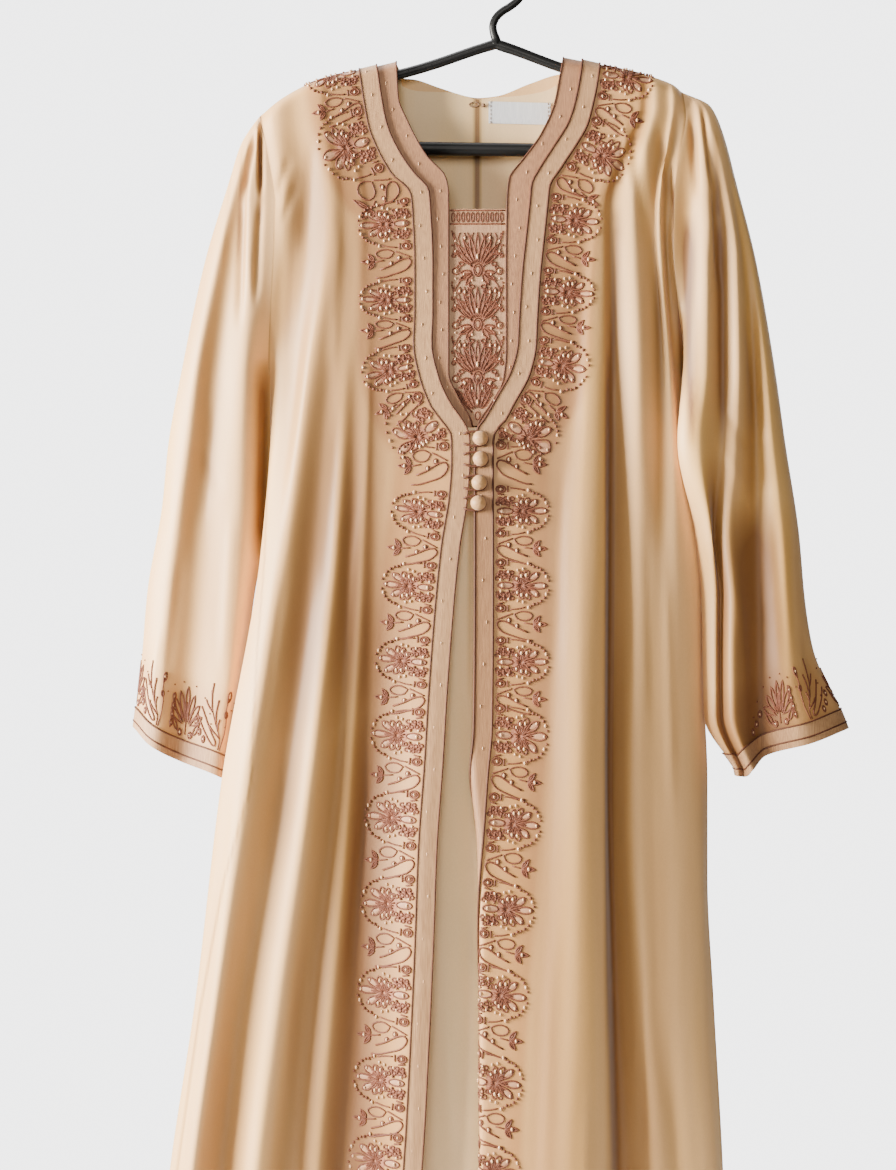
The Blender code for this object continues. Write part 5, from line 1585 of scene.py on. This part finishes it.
def make_plastron():
    rows, columns = PLASTRON_GRID
    grid = np.zeros((rows, columns, 3))
    for r, drop in enumerate(np.linspace(PLASTRON_TOP, V_DROP - 1.5, rows)):
        across = np.linspace(line_at(NECK[RIGHT], drop) - PLASTRON_TUCK,
                             line_at(NECK[LEFT], drop) + PLASTRON_TUCK, columns)
        grid[r] = np.column_stack((across, np.full(columns, plastron_depth(drop)),
                                   np.full(columns, -drop)))
    cloth("plastron", grid, np.broadcast_to(AHEAD, grid.shape), DRESS_SHELL, PANEL)

    def lay(drawing):
        spots = np.array([(x, plastron_depth(d) - 0.05, -d) for x, d in drawing])
        return spots, np.broadcast_to(AHEAD, spots.shape)
    work = Work(lay)

    def cord(drawing, radius, closed=False):
        if inside(drawing):
            work.cord(drawing, radius, closed)

    def fill(drawing):
        if inside(drawing, 0.5):
            work.fill(drawing)
    edge_right = line_at(NECK[RIGHT], LADDER_TOP) + 1.5
    edge_left = line_at(NECK[LEFT], LADDER_TOP) - 1.5
    for drop in (PLASTRON_TOP + 1.5, PLASTRON_TOP + 14.5):
        work.cord(stroke((edge_right, drop), (edge_left, drop), 12), 0.8)
    for x in np.arange(edge_right + 3, edge_left - 1, LADDER_STEP):
        cord(oval((x, PLASTRON_TOP + 8.0), 1.5, 4.6, 8), 0.65, True)
    for centre in PLASTRON_FLOWERS:
        here = np.array((PLASTRON_MIDDLE, centre))
        cord(oval(here, 4.0, 6.0, 12), 0.85, True)
        cord(oval(here, 2.2, 3.8, 10), 0.7, True)
        fill(oval(here - (0, 2), 7.5, 8.0, 12))
        if inside([here], 4):
            work.pad(oval(here - (0, 1), 3.2, 5.6, 12))
            work.pad(oval(here - (0, 26), 2.2, 6.5, 12))
        for angle in np.linspace(-50, 50, 9):
            length = 36 - 0.14 * abs(angle)
            cord(petal(here, 180 - angle, length, 2.0, 8.0, 9), 0.9, True)
            fill(petal(here, 180 - angle, length * 0.7, 1.8, 8.0, 7))
        for angle in (-72, -58, 58, 72):
            lean = 1 if angle > 0 else -1
            cord(curve([here + (lean * 5, -3), here + (lean * 14, -13), here + (lean * 21, -26),
                        here + (lean * 24.5, -38)][:3 if abs(angle) > 60 else 4]), 0.75)
        for lean in (-1, 1):
            cord(curve([here + (lean * 7, 3), here + (lean * 16, 10), here + (lean * 23, 22)]),
                 0.7)
            for angle, reach in ((62, 17), (34, 15), (88, 14)):
                leaf = petal(here + (lean * 3, 2), lean * angle, reach, 2.1, 3.0, 7)
                cord(leaf, 0.85, True)
                fill(leaf)
            for stem in SIDE_STEMS:
                cord([here + (lean * (stem + 1.1 * math.sin(0.5 * rise + stem)), -12 - rise)
                      for rise in range(0, 25, 3)], 0.6)
            for spot in ((lean * 11, -20), (lean * 15.5, -6), (lean * 9.5, 24),
                         (lean * 20.5, -17), (lean * 5.5, 16), (lean * 14, 32)):
                cord(oval(here + spot, 2.6, 1.9, 7), 0.85, True)
                cord(oval(here + spot + (lean * 2.4, 3.0), 1.7, 1.7, 6), 0.75, True)
            for spot, size in ((here + (lean * 20.5, 1.0), 3.4), (here + (lean * 17, 20), 2.2),
                               (here + (lean * 12, -31), 2.0)):
                cord(oval(spot, size, size, 9), 0.75, True)
                if inside([spot], 3):
                    work.pearl(spot, 1.3)
            for offset, height in ((24, -24), (24, -14), (24, 12), (24, 26), (8, 14), (16, 8)):
                spot = here + (lean * offset, height)
                if inside([spot]):
                    work.knot(spot, 1.2)
                    work.pearl(spot - (lean * 3, 4), 1.0)
        spot = here + (0, -13)
        if inside([spot]):
            points, out = lay([spot])
            work.pearls.append(bead(points[0] + out[0] * 0.8, 1.3, BEAD, (1.0, 1.0, 2.2)))
    work.finish("plastron_work")


make_plastron()


# ------------------------------------------------------------ label, thread, buttons
BACK_INSIDE = Ground(Sections(dress_back(LEFT), DRESS_HEM), BACK, layer=DRESS_LAYER)


def inside_back(across, drop, gap):
    """A point this far off the inner face of the inner dress's back."""
    return BACK_INSIDE.base(np.array(((across, drop),)))[0] - (0.0, DRESS_WALL + gap, 0.0)


def make_label():
    """Blank satin tape with a row of stitches at each end."""
    start, end, upper, lower = LABEL
    rows, columns = LABEL_GRID
    grid = np.zeros((rows, columns, 3))
    for r in range(rows):
        for c in range(columns):
            a, b = c / (columns - 1), r / (rows - 1)
            swell = 0.5 * math.sin(math.pi * a) * math.sin(math.pi * b)
            grid[r, c] = inside_back(start + a * (end - start),
                                     upper + b * (lower - upper) + 1.6 * a, 1.1 + swell)
    ride(shell("neck_label_tape", grid, np.broadcast_to(AHEAD, grid.shape), 0.35,
               LABEL_TAPE), "neck_label")
    ride(joined("neck_label_stitches", [tube(grid[r:r + 2, c] + (0.0, -0.3, 0.0), 0.35, 5)
                                        for c in (1, -2) for r in range(0, rows - 1, 2)],
                THREAD))


make_label()


def make_neck_closure():
    """The thread-covered button at the back of the neck and the thread loop round it."""
    spot = inside_back(CENTRE_BACK + 6, 140, 2.3)
    ride(joined("neck_button_thread", [bead(spot, 2.1, ball_form(16, 10))], THREAD),
         "neck_button")
    depth = inside_back(CENTRE_BACK + 1, 139, 0.9)[1]
    path = np.array([(CENTRE_BACK - 3 - 4.5 * math.cos(t), depth, -139 - 2.2 * math.sin(t))
                     for t in np.radians(np.arange(-80, 261, 12))])
    ride(joined("neck_loop_thread", [tube(path, 0.6, 8)], THREAD), "neck_loop")


make_neck_closure()


def band_front(drop):
    """Depth of the front of the bands where the buttons and loops lie."""
    return (min(smooth(FOLD_DROPS, BAND_DEPTH[hand], drop) for hand in (RIGHT, LEFT))
            - SEAM - STRIP_WALL)


def make_button(number, across, drop):
    """Cloth-covered ball with the soft gathers of its cover and a flattened back."""
    points, cells = ball_form(40, 26)
    turn = np.arctan2(points[:, 1], points[:, 0])
    spread = np.sqrt(np.clip(1 - points[:, 2] ** 2, 0, 1))
    crimp = 0.010 * np.sin(6 * turn + number) * spread + 0.012 * np.sin(2 * turn + 2 * number)
    points *= (1 + crimp)[:, None]
    points = np.column_stack((points[:, 0], -points[:, 2] * 0.96, points[:, 1] * 0.97))
    spot = np.array((across, band_front(drop) - SEAM - BUTTON_RADIUS, -drop))
    ride(joined(f"button_{number}_cover", [(points * BUTTON_RADIUS + spot, cells)], BUTTON),
         f"button_{number}")


def make_loop(number, across, drop):
    bend = [(across + LOOP_RADIUS * math.cos(t), drop + LOOP_RADIUS * math.sin(t))
            for t in np.radians(np.arange(-90, 91, 10))]
    route = ([(LOOP_END, drop - LOOP_RADIUS + 2), (LOOP_END + 8, drop - LOOP_RADIUS)]
             + bend + [(LOOP_END + 8, drop + LOOP_RADIUS), (LOOP_END, drop + LOOP_RADIUS - 2)])
    spine = np.array([(x, band_front(d) - 1.5 * SEAM - LOOP_CORD, -d)
                      for x, d in curve(route, 2)])
    ride(joined(f"loop_{number}_cord", [tube(spine, LOOP_CORD, 10)], PIPING), f"loop_{number}")


for _make in (make_button, make_loop):
    for _number, _spot in enumerate(BUTTONS, 1):
        _make(_number, *_spot)


# ------------------------------------------------------------------------- hanger
def hung(line):
    """Points of a flat line of the hanger, tilted as it hangs."""
    x, z = line[:, 0], -line[:, 1]
    return np.column_stack((x * math.cos(HANGER_TILT) + z * math.sin(HANGER_TILT),
                            np.zeros(len(line)),
                            -x * math.sin(HANGER_TILT) + z * math.cos(HANGER_TILT)))


def make_hanger():
    """One moulding: the arms and bar are one closed rod, with the hook grown from it."""
    ring = list(HANGER_HALF) + [(-x, d, r) for x, d, r in HANGER_HALF[:0:-1]]
    rod = hung(curve([(x, d) for x, d, _r in ring], 6, True))
    sizes = np.repeat([r for *_spot, r in ring], 6)
    sizes = np.convolve(np.concatenate((sizes[-3:], sizes, sizes[:3])), np.ones(7) / 7, "valid")
    bend = [(HOOK_BEND * math.cos(t), HOOK_BEND - HOOK_CORD - HOOK_BEND * math.sin(t))
            for t in np.radians(np.arange(-60, 201, 20))]
    hook = hung(curve(list(HOOK_NECK) + bend, 6))
    flare = HOOK_CORD + 2.2 * np.clip(1 - np.arange(len(hook)) / 14.0, 0, 1) ** 2
    flare[-5:] *= np.array((1.0, 1.06, 1.1, 1.06, 0.9))
    seam = rod + np.array(AHEAD) * (sizes[:, None] * 0.93)
    ride(joined("hanger_moulding", [tube(rod, sizes, 18, True), tube(hook, flare, 18),
                                    tube(seam, 0.55, 6, True)], PLASTIC), "hanger")


make_hanger()
